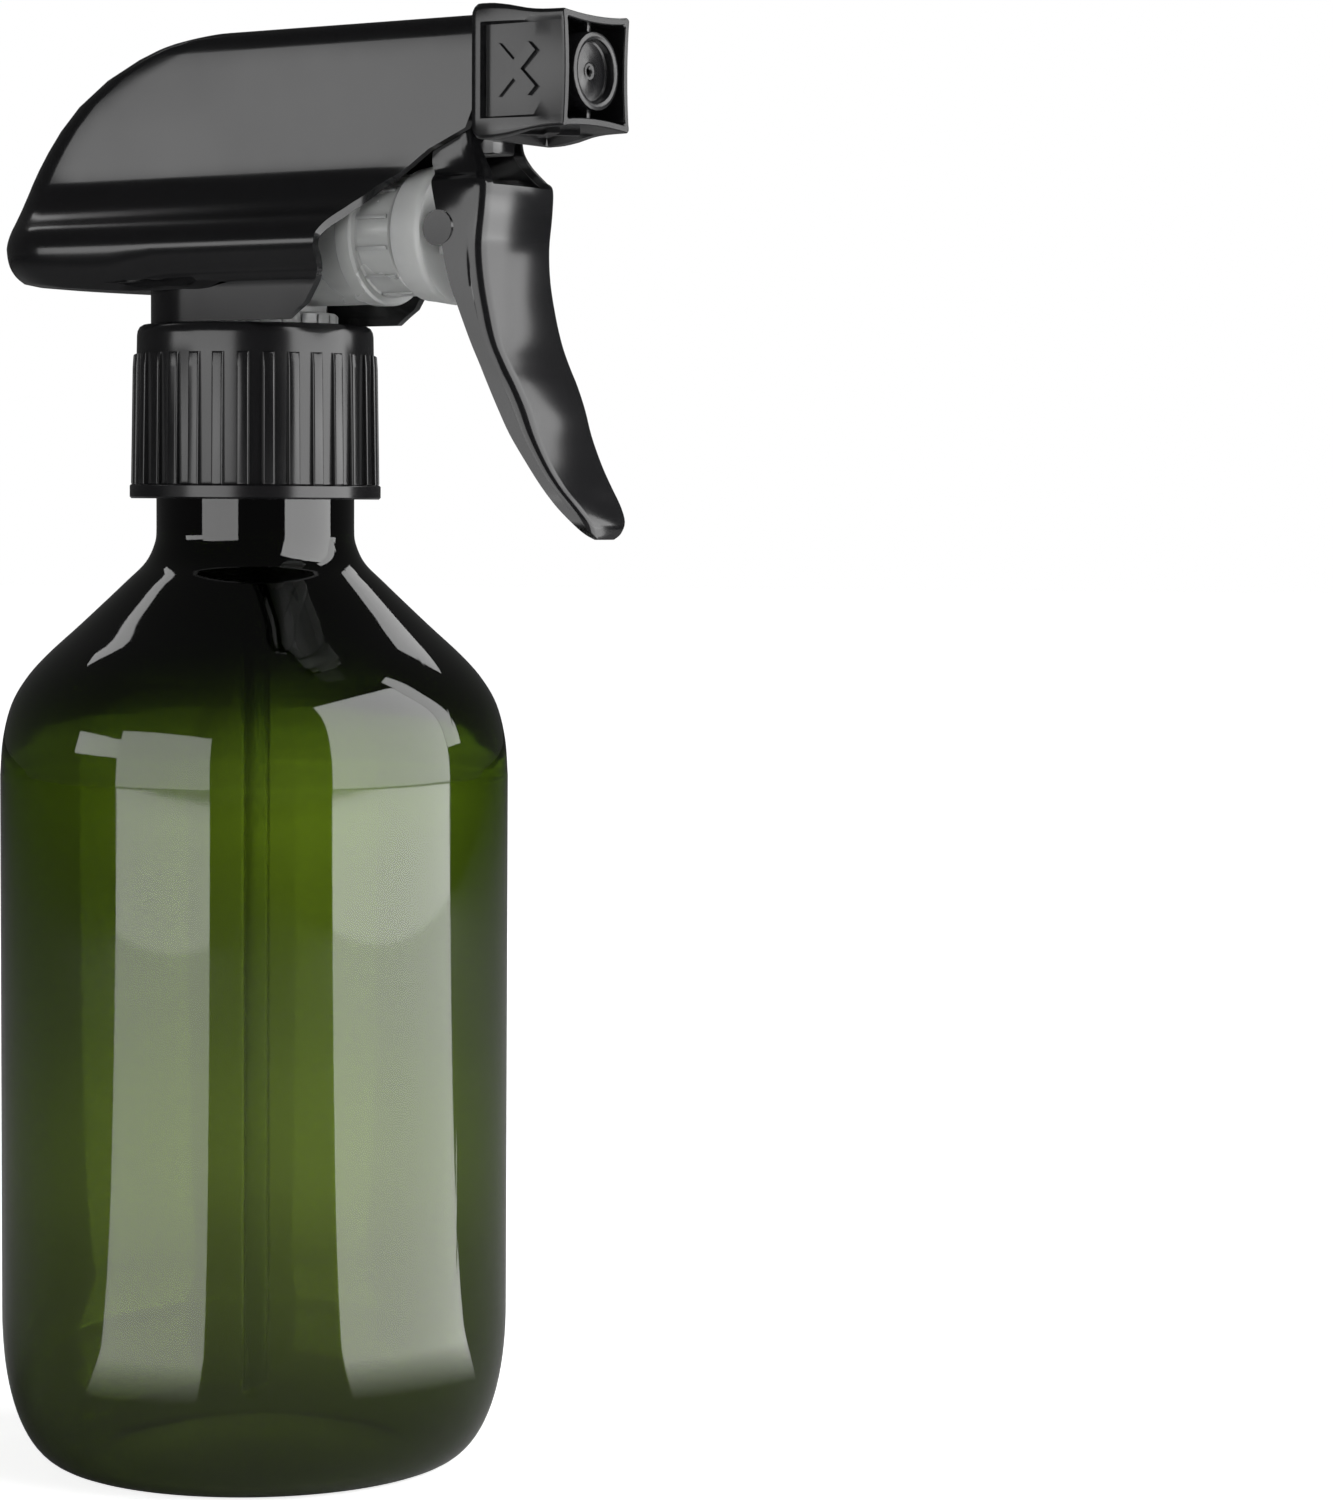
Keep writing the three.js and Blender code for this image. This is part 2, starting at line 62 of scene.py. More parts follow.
def smoothRows(rows, steps):  # more rows, on a smooth curve through the given ones
    out = []
    for k in range(len(rows) - 1):
        four = [rows[max(k - 1, 0)], rows[k], rows[k + 1], rows[min(k + 2, len(rows) - 1)]]
        for i in range(steps):
            t = i / steps
            out.append([0.5 * (2 * b + (c - a) * t + (2 * a - 5 * b + 4 * c - d) * t ** 2
                               + (3 * b - a - 3 * c + d) * t ** 3) for a, b, c, d in zip(*four)])
    return out + [list(rows[-1])]


def readRows(rows, at):  # straight-line reading, first column going down
    for upper, lower in zip(rows, rows[1:]):
        if at >= lower[0]:
            t = (at - lower[0]) / (upper[0] - lower[0])
            return [l + (u - l) * t for u, l in zip(upper, lower)]
    return list(rows[-1])


def addStrip(bm, points, closed=False):
    verts = [bm.verts.new(p) for p in points]
    edges = [bm.edges.new(pair) for pair in zip(verts, verts[1:])]
    if closed:
        edges.append(bm.edges.new((verts[-1], verts[0])))
    return verts, edges


def addSkin(bm, rings, closed=False):  # bridges each ring of points to the next
    strips = [addStrip(bm, points, closed) for points in rings]
    for (_, upper), (_, lower) in zip(strips, strips[1:]):
        bmesh.ops.bridge_loops(bm, edges=upper + lower)
    return [verts for verts, _ in strips]


def addTurned(bm, profile, steps=96, along="z", height=0.0):  # profile: radius and place on the axis
    if along == "z":
        points, axis, centre = [(r, 0, a) for r, a in profile], (0, 0, 1), (0, 0, 0)
    else:
        points, axis, centre = [(a, 0, height + r) for r, a in profile], (1, 0, 0), (0, 0, height)
    verts, edges = addStrip(bm, points)
    bmesh.ops.spin(bm, geom=verts + edges, cent=centre, axis=axis, dvec=(0, 0, 0),
                   angle=2 * math.pi, steps=steps, use_merge=True, use_duplicate=False)


def addBlock(bm, x, y, z, bevelWidth=0.0):  # from a low to a high value on each axis
    size = [b - a for a, b in (x, y, z)]
    middle = Vector([(a + b) / 2 for a, b in (x, y, z)])
    matrix = Matrix.Translation(middle) @ Matrix.Diagonal((*size, 1))
    verts = bmesh.ops.create_cube(bm, size=1, matrix=matrix)["verts"]
    if bevelWidth:
        edges = list({e for v in verts for e in v.link_edges})
        bmesh.ops.bevel(bm, geom=edges, offset=bevelWidth, offset_type="OFFSET", segments=2, profile=0.5,
                        affect="EDGES", material=-1)
    return verts


def addHelix(bm, section, centre, axis, rise, turns, stepsPerTurn):  # a closed section wound round an axis
    verts, edges = addStrip(bm, section, closed=True)
    bm.faces.new(verts)
    steps = round(turns * stepsPerTurn)
    pitch = Vector(axis) * (rise / stepsPerTurn)
    made = bmesh.ops.spin(bm, geom=verts + edges, cent=centre, axis=axis, dvec=pitch,
                          angle=2 * math.pi * turns, steps=steps, use_merge=False, use_duplicate=False)
    last = [e for e in made["geom_last"] if isinstance(e, bmesh.types.BMEdge)]
    bmesh.ops.edgeloop_fill(bm, edges=last)


def finishMesh(name, bm, smoothAngle=35):
    bmesh.ops.remove_doubles(bm, verts=bm.verts, dist=0.002)
    bmesh.ops.recalc_face_normals(bm, faces=bm.faces)
    bmesh.ops.scale(bm, vec=(mm, mm, mm), verts=bm.verts)
    bmesh.ops.translate(bm, vec=(axisX, 0, 0), verts=bm.verts)
    mesh = bpy.data.meshes.new(name)
    bm.to_mesh(mesh)
    bm.free()
    mesh.polygons.foreach_set("use_smooth", [True] * len(mesh.polygons))
    mesh.set_sharp_from_angle(angle=math.radians(smoothAngle))
    piece = bpy.data.objects.new(name, mesh)
    scene.collection.objects.link(piece)
    return piece


def addModifier(piece, kind, **values):
    modifier = piece.modifiers.new(kind.title(), kind)
    for key, value in values.items():
        setattr(modifier, key, value)


def addBevel(piece, width, segments=3, angle=40):
    addModifier(piece, "BEVEL", width=width * mm, segments=segments, limit_method="ANGLE",
                angle_limit=math.radians(angle), harden_normals=True)


def addWall(piece, thickness):
    addModifier(piece, "SOLIDIFY", thickness=thickness * mm, offset=-1)


def settle(piece, body, nodes, material):
    piece.data.materials.clear()
    piece.data.materials.append(material)
    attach(piece, body)
    if nodes:
        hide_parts(*nodes)
    print("made", piece.name)


# Materials

def newMaterial(name):
    material = bpy.data.materials.new(name)
    material.use_nodes = True
    nodes = material.node_tree.nodes
    return material, nodes, material.node_tree.links, nodes["Principled BSDF"]


def noiseOn(nodes, links, scale, detail=3.0, stretch=(1, 1, 1)):
    place = nodes.new("ShaderNodeTexCoord")
    mapping = nodes.new("ShaderNodeMapping")
    mapping.inputs["Scale"].default_value = stretch
    noise = nodes.new("ShaderNodeTexNoise")
    noise.inputs["Scale"].default_value = scale
    noise.inputs["Detail"].default_value = detail
    noise.inputs["Roughness"].default_value = 0.55
    links.new(place.outputs["Object"], mapping.inputs["Vector"])
    links.new(mapping.outputs["Vector"], noise.inputs["Vector"])
    return noise.outputs["Fac"]


def rangeOf(nodes, links, value, low, high, fromLow=0.3, fromHigh=0.7):
    node = nodes.new("ShaderNodeMapRange")
    node.inputs["From Min"].default_value = fromLow
    node.inputs["From Max"].default_value = fromHigh
    node.inputs["To Min"].default_value = low
    node.inputs["To Max"].default_value = high
    links.new(value, node.inputs["Value"])
    return node.outputs["Result"]


def mathOf(nodes, links, operation, *values):  # each value is a number or a socket
    node = nodes.new("ShaderNodeMath")
    node.operation = operation
    for socket, value in zip(node.inputs, values):
        if isinstance(value, (int, float)):
            socket.default_value = value
        else:
            links.new(value, socket)
    return node.outputs[0]


def mixOf(nodes, links, first, second, factor):
    mix = nodes.new("ShaderNodeMix")
    mix.data_type = "RGBA"
    mix.inputs["A"].default_value = first
    mix.inputs["B"].default_value = second
    links.new(factor, mix.inputs["Factor"])
    return mix.outputs["Result"]


def shaded(colour, factor):
    return tuple(c * factor for c in colour[:3]) + (1,)


def bumpFrom(nodes, links, height, strength, distance, shader, under=None):
    bump = nodes.new("ShaderNodeBump")
    bump.inputs["Strength"].default_value = strength
    bump.inputs["Distance"].default_value = distance
    links.new(height, bump.inputs["Height"])
    if under:
        links.new(under, bump.inputs["Normal"])
    links.new(bump.outputs["Normal"], shader.inputs["Normal"])
    return bump.outputs["Normal"]


blackPlastic = {
    "colour": (0.0055, 0.0055, 0.006, 1),
    "spread": 1.5,         # the palest spots, in times the colour
    "ior": 1.49,
    "cloudScale": 38.0,
    "tintScale": 240.0,
    "waveScale": 55.0,     # slow ripple left by the mould
    "waveStrength": 0.35,
    "waveHeight": 0.00002,
    "grainScale": 2600.0,  # fine texture of the steel
    "grainHeight": 0.000002,
}


def makeBlackPlastic(name, roughLow, roughHigh, grain):
    b = blackPlastic
    material, nodes, links, shader = newMaterial(name)
    shader.inputs["IOR"].default_value = b["ior"]
    cloud = noiseOn(nodes, links, b["cloudScale"])
    links.new(rangeOf(nodes, links, cloud, roughLow, roughHigh), shader.inputs["Roughness"])
    spots = noiseOn(nodes, links, b["tintScale"])
    tint = mixOf(nodes, links, b["colour"], shaded(b["colour"], b["spread"]), spots)
    links.new(tint, shader.inputs["Base Color"])
    ripple = noiseOn(nodes, links, b["waveScale"], detail=1.0)
    under = bumpFrom(nodes, links, ripple, b["waveStrength"], b["waveHeight"], shader)
    fine = noiseOn(nodes, links, b["grainScale"], detail=2.0)
    bumpFrom(nodes, links, fine, grain, b["grainHeight"], shader, under)
    return material


greenPet = {
    "ior": 1.57,
    "gloss": 0.31,
    "absorb": (1420.0, 1220.0, 2450.0),  # per metre of wall
    "density": 2620.0,
    "rough": (0.02, 0.045),
    "cloudScale": 30.0,
    "seamWidth": 0.00018,
    "seamStrength": 0.08,
    "seamHeight": 0.00004,
    "swayScale": 16.0,   # the blown wall is slightly uneven
    "swayStretch": (1, 1, 0.35),
    "swayStrength": 0.25,
    "swayHeight": 0.00025,
    "deepFrom": 0.093,  # above this height the colour darkens towards deep
    "deepTo": 0.118,
    "baseFrom": 0.016,   # and below this one
    "baseTo": 0.003,
    "baseDepth": 0.45,
    "clear": (0.96, 0.97, 0.93, 1),
    "deep": (0.035, 0.042, 0.025, 1),
}


def makeGreenPet(name):
    g = greenPet
    material, nodes, links, shader = newMaterial(name)
    shader.inputs["IOR"].default_value = g["ior"]
    shader.inputs["Specular IOR Level"].default_value = g["gloss"]
    shader.inputs["Transmission Weight"].default_value = 1.0
    place = nodes.new("ShaderNodeTexCoord")
    split = nodes.new("ShaderNodeSeparateXYZ")
    links.new(place.outputs["Object"], split.inputs["Vector"])
    height = split.outputs["Z"]
    # the colour darkens towards the neck and towards the base
    depth = rangeOf(nodes, links, height, 0.0, 1.0, g["deepFrom"], g["deepTo"])
    depth.node.interpolation_type = "SMOOTHSTEP"
    low = rangeOf(nodes, links, height, 0.0, g["baseDepth"], g["baseFrom"], g["baseTo"])
    deepest = mathOf(nodes, links, "MAXIMUM", depth, low)
    links.new(mixOf(nodes, links, g["clear"], g["deep"], deepest), shader.inputs["Base Color"])
    cloud = noiseOn(nodes, links, g["cloudScale"])
    links.new(rangeOf(nodes, links, cloud, *g["rough"]), shader.inputs["Roughness"])
    seam = mathOf(nodes, links, "ABSOLUTE", split.outputs["Y"])
    ridge = rangeOf(nodes, links, seam, 1.0, 0.0, 0.0, g["seamWidth"])
    under = bumpFrom(nodes, links, ridge, g["seamStrength"], g["seamHeight"], shader)
    sway = noiseOn(nodes, links, g["swayScale"], detail=1.0, stretch=g["swayStretch"])
    bumpFrom(nodes, links, sway, g["swayStrength"], g["swayHeight"], shader, under)
    absorption = nodes.new("ShaderNodeVolumeAbsorption")
    absorption.inputs["Density"].default_value = g["density"]
    absorption.inputs["Color"].default_value = [1 - a / g["density"] for a in g["absorb"]] + [1]
    links.new(absorption.outputs["Volume"], nodes["Material Output"].inputs["Volume"])
    return material


natural = {  # unpigmented polypropylene
    "ior": 1.49,
    "tubeIor": 1.12,       # the tube's wall is thin, so it hardly bends the light
    "softWeight": 0.6,
    "softRadius": (1.0, 1.0, 0.95),
    "softScale": 0.0025,
    "darkest": 0.84,
    "cloudScale": 120.0,
    "cloudStretch": (0.4, 1, 1),
    "roughScale": 60.0,
    "roughSpread": 0.14,
    "grainScale": 900.0,
    "grainStrength": 0.15,
    "grainHeight": 0.00002,
}


def makeNatural(name, colour, rough, clearness):
    n = natural
    material, nodes, links, shader = newMaterial(name)
    shader.inputs["IOR"].default_value = n["ior"]
    shader.inputs["Transmission Weight"].default_value = clearness
    shader.inputs["Subsurface Weight"].default_value = n["softWeight"]
    shader.inputs["Subsurface Radius"].default_value = n["softRadius"]
    shader.inputs["Subsurface Scale"].default_value = n["softScale"]
    cloud = noiseOn(nodes, links, n["cloudScale"], stretch=n["cloudStretch"])
    tint = mixOf(nodes, links, shaded(colour, n["darkest"]), shaded(colour, 1.0), cloud)
    links.new(tint, shader.inputs["Base Color"])
    patches = noiseOn(nodes, links, n["roughScale"])
    roughness = rangeOf(nodes, links, patches, rough, rough + n["roughSpread"])
    links.new(roughness, shader.inputs["Roughness"])
    grain = noiseOn(nodes, links, n["grainScale"], detail=2.0)
    bumpFrom(nodes, links, grain, n["grainStrength"], n["grainHeight"], shader)
    return material


smallParts = {  # foam, spring wire and ball
    "darkest": 0.85,
    "roughScale": 300.0,
    "grainHeight": 0.00002,
}


def makeSimple(name, colour, roughLow, roughHigh, metallic=0.0, grainScale=1500.0, grain=0.2):
    material, nodes, links, shader = newMaterial(name)
    shader.inputs["Metallic"].default_value = metallic
    spots = noiseOn(nodes, links, grainScale / 6)
    tint = mixOf(nodes, links, shaded(colour, smallParts["darkest"]), shaded(colour, 1.0), spots)
    links.new(tint, shader.inputs["Base Color"])
    patches = noiseOn(nodes, links, smallParts["roughScale"])
    links.new(rangeOf(nodes, links, patches, roughLow, roughHigh), shader.inputs["Roughness"])
    fine = noiseOn(nodes, links, grainScale)
    bumpFrom(nodes, links, fine, grain, smallParts["grainHeight"], shader)
    return material


closurePlastic = makeBlackPlastic("closurePlastic", 0.16, 0.24, 0.35)
shroudPlastic = makeBlackPlastic("shroudPlastic", 0.12, 0.19, 0.25)
triggerPlastic = makeBlackPlastic("triggerPlastic", 0.13, 0.20, 0.25)
nozzlePlastic = makeBlackPlastic("nozzlePlastic", 0.20, 0.30, 0.5)
greenBottle = makeGreenPet("greenBottle")
naturalBody = makeNatural("naturalBody", (0.60, 0.61, 0.60), 0.22, 0.35)
naturalPiston = makeNatural("naturalPiston", (0.72, 0.73, 0.72), 0.25, 0.3)
naturalTube = makeNatural("naturalTube", (0.97, 0.98, 0.97), 0.1, 1.0)
tubeShader = naturalTube.node_tree.nodes["Principled BSDF"]
tubeShader.inputs["IOR"].default_value = natural["tubeIor"]
tubeShader.inputs["Subsurface Weight"].default_value = 0.0
foam = makeSimple("foam", (0.82, 0.82, 0.79), 0.75, 0.9, grainScale=3000.0, grain=0.7)
wire = makeSimple("wire", (0.62, 0.63, 0.65), 0.22, 0.34, metallic=1.0, grainScale=2200.0)
ballGlass = makeSimple("ballGlass", (0.55, 0.64, 0.62), 0.05, 0.1, grain=0.05)


# Bottle

bottle = {
    "radius": 36.0,
    "cornerWidth": 9.5,
    "cornerHeight": 22.0,
    "cornerPower": 2.2,
    "cornerSteps": 22,
    "underside": [(0, 3.5), (9, 3.0), (17, 1.5)],  # the pushed-up middle
    "restRing": 4.0,    # the ring it stands on is this far inside the corner
    "wall": 0.9,
    "shoulder": [(14.0, 133), (14.2, 131), (15.5, 128.2), (18.4, 125.3), (24.4, 119.6), (29.3, 115.1),
                 (32.3, 111.7), (34.4, 108), (35.6, 103.2), (36, 98)],
    "ledge": (14.0, 138.5),
    "throat": [(10.8, 137), (12.2, 134.5)],
    "finishRoot": 12.6,
    "finishFoot": 139.5,
    "finishBore": 10.8,
    "finishTop": 156.0,
    "threadPitch": 4.233,
    "threadTurns": 1.25,
    "threadStart": 142.5,
    # out and up from the root of the thread
    "thread": [(0, -1.1), (0.45, -1.05), (1.45, -0.45), (1.45, 0.45), (0.45, 1.05), (0, 1.1)],
    "steps": 144,
}


def makeBottle():
    b = bottle
    wall, top = b["wall"], b["finishTop"]
    ring = b["radius"] - b["cornerWidth"]
    rest = ring - b["restRing"]

    def corner(inset):
        points = []
        for i in range(b["cornerSteps"] + 1):
            up = 1 - math.cos(i / b["cornerSteps"] * math.pi / 2)
            out = (1 - (1 - up) ** b["cornerPower"]) ** (1 / b["cornerPower"])
            reach, rise = b["cornerWidth"] - inset, b["cornerHeight"] - inset
            points.append((ring + reach * out, inset + rise * up))
        return points

    shoulder = smoothRows(b["shoulder"], 5)
    floor = smoothRows(b["underside"] + [(rest, 0)], 4)[:-1]
    outer = floor + [(rest, 0.0)] + corner(0) + shoulder[::-1]
    outer += [b["ledge"], (b["finishRoot"], b["finishFoot"]), (b["finishRoot"], top - 0.4)]
    outer += [(b["finishRoot"] - 0.4, top)]
    inner = [(b["finishBore"] + 0.3, top), (b["finishBore"], top - 0.3)] + b["throat"]
    inner += [(r - wall * 1.3, z - wall * 0.6) for r, z in shoulder]
    inner += corner(wall)[::-1] + [(rest, wall)]
    inner += [(r, z + wall) for r, z in floor[::-1]]
    bm = bmesh.new()
    addTurned(bm, outer + inner, steps=b["steps"])
    root = b["finishRoot"] - 0.4
    section = [(root + u, 0, b["threadStart"] + v) for u, v in b["thread"]]
    addHelix(bm, section, (0, 0, 0), (0, 0, 1), b["threadPitch"], b["threadTurns"], 48)
    piece = finishMesh("bottleShell", bm, smoothAngle=50)
    settle(piece, "bottle_body", ["bottle"], greenBottle)


# Closure

closure = {
    "foot": 137.2,
    "top": 161.7,
    "bandRadius": 17.75,
    "rootRadius": 16.75,
    # the rounded top edge: radius and height
    "brow": [(16.7, 160.2), (16.6, 160.8), (16.3, 161.35), (15.8, 161.65)],
    "ribs": 30,
    "firstRib": 0.3,     # in rib spacings
    "ribWidth": 1.95,
    "ribTaper": 0.80,
    "ribCrest": 17.55,
    "ribFoot": 139.2,
    "ribTop": 157.6,
    "slopeLength": 2.0,  # the rib runs out over this much
    "slopeCrest": 17.3,
    "slopeEnd": 0.42,
    "ribBevel": 0.22,
    "bore": 14.3,
    "lipHole": 12.1,
    "lip": 1.8,
    # in and up from the root of the thread
    "thread": [(0, -0.95), (-0.4, -0.9), (-1.5, -0.35), (-1.5, 0.35), (-0.4, 0.9), (0, 0.95)],
}


def makeClosure():
    c = closure
    bm = bmesh.new()
    root, band, foot, top, bore = c["rootRadius"], c["bandRadius"], c["foot"], c["top"], c["bore"]
    addTurned(bm, [
        (c["lipHole"], top - 0.2), (c["lipHole"], top - c["lip"]), (bore, top - c["lip"]),
        (bore, foot + 0.3), (bore + 0.3, foot), (band - 0.25, foot), (band, foot + 0.25),
        (band, c["ribFoot"] - 0.2), (band - 0.2, c["ribFoot"]), (root + 0.1, c["ribFoot"] + 0.1),
        (root, c["ribFoot"] + 0.5), (root, c["ribTop"]), *c["brow"], (15.2, top),
        (c["lipHole"] + 0.2, top), (c["lipHole"], top - 0.2),
    ], steps=180)
    rib = bmesh.new()
    half, slopeFoot = c["ribWidth"] / 2, c["ribTop"] - c["slopeLength"]
    verts = addBlock(rib, (root - 0.3, c["ribCrest"]), (-half, half), (c["ribFoot"], c["ribTop"]))
    for v in verts:
        if v.co.x > root:
            v.co.y *= c["ribTaper"]
            if v.co.z > c["ribTop"] - 1:
                v.co.x, v.co.z = root + c["slopeEnd"], c["ribTop"] - 0.1
    bmesh.ops.bisect_plane(rib, geom=rib.verts[:] + rib.edges[:] + rib.faces[:], plane_co=(0, 0, slopeFoot),
                           plane_no=(0, 0, 1))
    for v in rib.verts:
        if v.co.x > root and abs(v.co.z - slopeFoot) < 0.1:
            v.co.x = c["slopeCrest"]
    inside = [f for f in rib.faces if f.calc_center_median().x < root - 0.29]
    bmesh.ops.delete(rib, geom=inside, context="FACES_ONLY")
    outside = [e for e in rib.edges if all(v.co.x > root for v in e.verts)]
    bmesh.ops.bevel(rib, geom=outside, offset=c["ribBevel"], offset_type="OFFSET", segments=3, profile=0.5,
                    affect="EDGES", material=-1)
    ribMesh = bpy.data.meshes.new("rib")
    rib.to_mesh(ribMesh)
    rib.free()
    for i in range(c["ribs"]):
        count = len(bm.verts)
        bm.from_mesh(ribMesh)
        turn = Matrix.Rotation(2 * math.pi * (i + c["firstRib"]) / c["ribs"], 3, "Z")
        bmesh.ops.rotate(bm, cent=(0, 0, 0), matrix=turn, verts=bm.verts[count:])
    bpy.data.meshes.remove(ribMesh)
    start = bottle["threadStart"] + bottle["threadPitch"] / 2
    section = [(bore + 0.3 + u, 0, start + v) for u, v in c["thread"]]
    addHelix(bm, section, (0, 0, 0), (0, 0, 1), bottle["threadPitch"], bottle["threadTurns"], 48)
    piece = finishMesh("screwClosure", bm, smoothAngle=40)
    settle(piece, "closure_ring", ["closure"], closurePlastic)


# Connector, dip tube and pump body

connector = {
    # radius and height: the tube's socket, the flange on the neck, the toothed collar, then the bore
    "profile": [(2.4, 146), (3.4, 146), (3.6, 146.2), (4.1, 150), (4.1, 157.8), (13.6, 157.8), (13.8, 158),
                (13.8, 159.2), (13.6, 159.4), (11.5, 159.6), (11.5, 163.2), (11.3, 163.4), (10.7, 163.4),
                (10.5, 163.2), (10.5, 159.6), (2.9, 159.4), (2.9, 152.9), (1.5, 151.6), (1.5, 151),
                (2.4, 150.6), (2.4, 146)],
    "teeth": 24,
    "toothReach": (11.3, 11.75),
    "toothWidth": 0.8,
    "toothHeight": (159.9, 163.1),
    "toothBevel": 0.12,
}


def makeConnector():
    c = connector
    bm = bmesh.new()
    addTurned(bm, c["profile"], steps=96)
    half = c["toothWidth"] / 2
    for i in range(c["teeth"]):
        turn = Matrix.Rotation(math.radians(360 / c["teeth"] * i), 3, "Z")
        before = len(bm.verts)
        addBlock(bm, c["toothReach"], (-half, half), c["toothHeight"], bevelWidth=c["toothBevel"])
        bmesh.ops.rotate(bm, cent=(0, 0, 0), matrix=turn, verts=bm.verts[before:])
    settle(finishMesh("neckConnector", bm), "head", ["connector"], naturalBody)


dipTube = {
    "radius": 2.1,
    "bore": 1.5,
    "foot": 7,
    "top": 150.2,
    "cutHeight": 9.5,   # the foot is cut on a slant through this height
    "cutSlope": 0.5,
}


def makeDipTube():
    d = dipTube
    bm = bmesh.new()
    addTurned(bm, [(d["bore"], d["foot"]), (d["radius"], d["foot"]), (d["radius"], d["top"]),
                   (d["bore"], d["top"]), (d["bore"], d["foot"])], steps=32)
    geometry = bm.verts[:] + bm.edges[:] + bm.faces[:]
    made = bmesh.ops.bisect_plane(bm, geom=geometry, plane_co=(0, 0, d["cutHeight"]),
                                  plane_no=(-d["cutSlope"], 0, 1), clear_inner=True)
    rim = [e for e in made["geom_cut"] if isinstance(e, bmesh.types.BMEdge)]
    bmesh.ops.bridge_loops(bm, edges=rim)
    settle(finishMesh("dipTube", bm), "head", ["dip_tube"], naturalTube)


pump = {
    "height": 173.6,
    "back": -10.0,
    "boreBack": -6.0,
    "drumRadius": 9.6,
    "drumFront": 24.4,
    "cylinderRadius": 8.25,
    "cylinderFront": 30.2,
    "bore": 6.9,
    "ribs": 12,
    "ribOverlap": 2.3,   # past the middle of the sleeve
    "ribHalf": 0.3,
    # radius and height of the collar that snaps into the connector
    "collar": [(8.9, 161.4), (8.9, 159.9), (10.1, 159.9), (10.1, 166.5), (8.9, 166.5), (8.9, 161.4)],
    "barrelHeight": 194.5,
    "barrel": [(2.6, 50.5), (4.3, 50.5), (4.6, 50.2), (4.6, -5), (2.6, -5), (2.6, 50.5)],
    "boss": ((-4.5, 4.5), (-4.2, 4.2), (182.6, 190.5)),
    "web": ((4, 25.5), (-0.8, 0.8), (182.6, 190.6)),
    "hinge": ((38.2, 43.6), (-2.6, 2.6), (184.0, 190.4)),
}


def makePumpBody():
    p = pump
    bm = bmesh.new()
    drum, sleeve, bore = p["drumRadius"], p["cylinderRadius"], p["bore"]
    back, step, front = p["back"], p["drumFront"], p["cylinderFront"]
    addTurned(bm, [
        (0, back), (drum - 0.8, back), (drum - 0.2, back + 0.3), (drum, back + 0.8),
        (drum - 0.25, back + 1.4), (drum - 0.25, step - 2.8), (drum, step - 2.5), (drum, step - 0.3),
        (drum - 0.3, step),
        (sleeve + 0.25, step), (sleeve, step + 0.25), (sleeve, front - 0.3), (sleeve - 0.3, front),
        (bore + 0.3, front), (bore, front - 0.4), (bore, p["boreBack"]), (0, p["boreBack"]),
    ], steps=96, along="x", height=p["height"])
    ribEnd = (step + front) / 2 + p["ribOverlap"]
    for i in range(p["ribs"]):
        before = len(bm.verts)
        addBlock(bm, (step - 0.2, ribEnd), (-p["ribHalf"], p["ribHalf"]), (sleeve - 0.25, sleeve + 0.22),
                 bevelWidth=0.1)
        turn = Matrix.Rotation(math.radians(360 / p["ribs"] * (i + 0.5)), 3, "X")
        bmesh.ops.rotate(bm, cent=(0, 0, 0), matrix=turn, verts=bm.verts[before:])
        bmesh.ops.translate(bm, vec=(0, 0, p["height"]), verts=bm.verts[before:])
    addTurned(bm, p["collar"], steps=72)
    addTurned(bm, p["barrel"], steps=48, along="x", height=p["barrelHeight"])
    addBlock(bm, *p["boss"], bevelWidth=0.4)
    addBlock(bm, *p["web"], bevelWidth=0.2)
    settle(finishMesh("pumpHousing", bm), "head", ["pump_body"], naturalBody)
    bm = bmesh.new()
    addBlock(bm, *p["hinge"], bevelWidth=0.5)
    settle(finishMesh("hingeBlock", bm), "head", [], triggerPlastic)


pin = {"x": 39.3, "z": 173.8, "radius": 1.6, "halfLength": 8.5}
pivot = {"x": 40.8, "z": 186.6}


def addRodY(bm, radius, x, z, yLow, yHigh, steps=32):
    turn = Matrix.Rotation(math.pi / 2, 4, "X")
    matrix = Matrix.Translation((x, (yLow + yHigh) / 2, z)) @ turn
    bmesh.ops.create_cone(bm, cap_ends=True, segments=steps, radius1=radius, radius2=radius,
                          depth=yHigh - yLow, matrix=matrix)


piston = {
    # radius and place along the stroke: the seal's groove, the rod, then the flared bell
    "profile": [(0, 6), (6.2, 6), (6.4, 6.2), (6.4, 6.9), (4.9, 7), (4.9, 8.9), (6.4, 9), (6.4, 10.2),
                (3.2, 11), (3.2, 34.2), (8.2, 35), (8.8, 34.2), (8.75, 31.1), (8.9, 30.9), (9.1, 31.1),
                (9.25, 32.4), (9.5, 34), (9.7, 35.2), (9.7, 35.9), (9.5, 36.3), (9.1, 36.4), (0, 36.4)],
    "blockLength": (35.8, 41.4),
    "blockHalf": 5.2,
    "blockRise": 3.4,    # above and below the pin
}


def makePiston():
    p = piston
    bm = bmesh.new()
    addTurned(bm, p["profile"], steps=96, along="x", height=pump["height"])
    addBlock(bm, p["blockLength"], (-p["blockHalf"], p["blockHalf"]),
             (pin["z"] - p["blockRise"], pin["z"] + p["blockRise"]), bevelWidth=0.5)
    addRodY(bm, pin["radius"], pin["x"], pin["z"], -pin["halfLength"], pin["halfLength"])
    settle(finishMesh("pistonBell", bm), "piston_rod", ["piston"], naturalPiston)


spring = {
    "wire": 0.38,
    "wireSteps": 10,
    "radius": 4.9,
    "turns": 6,
    "back": -4.9,
    "length": 10.2,
    "squeezed": 0.54,   # share of its length at the end of the stroke
}


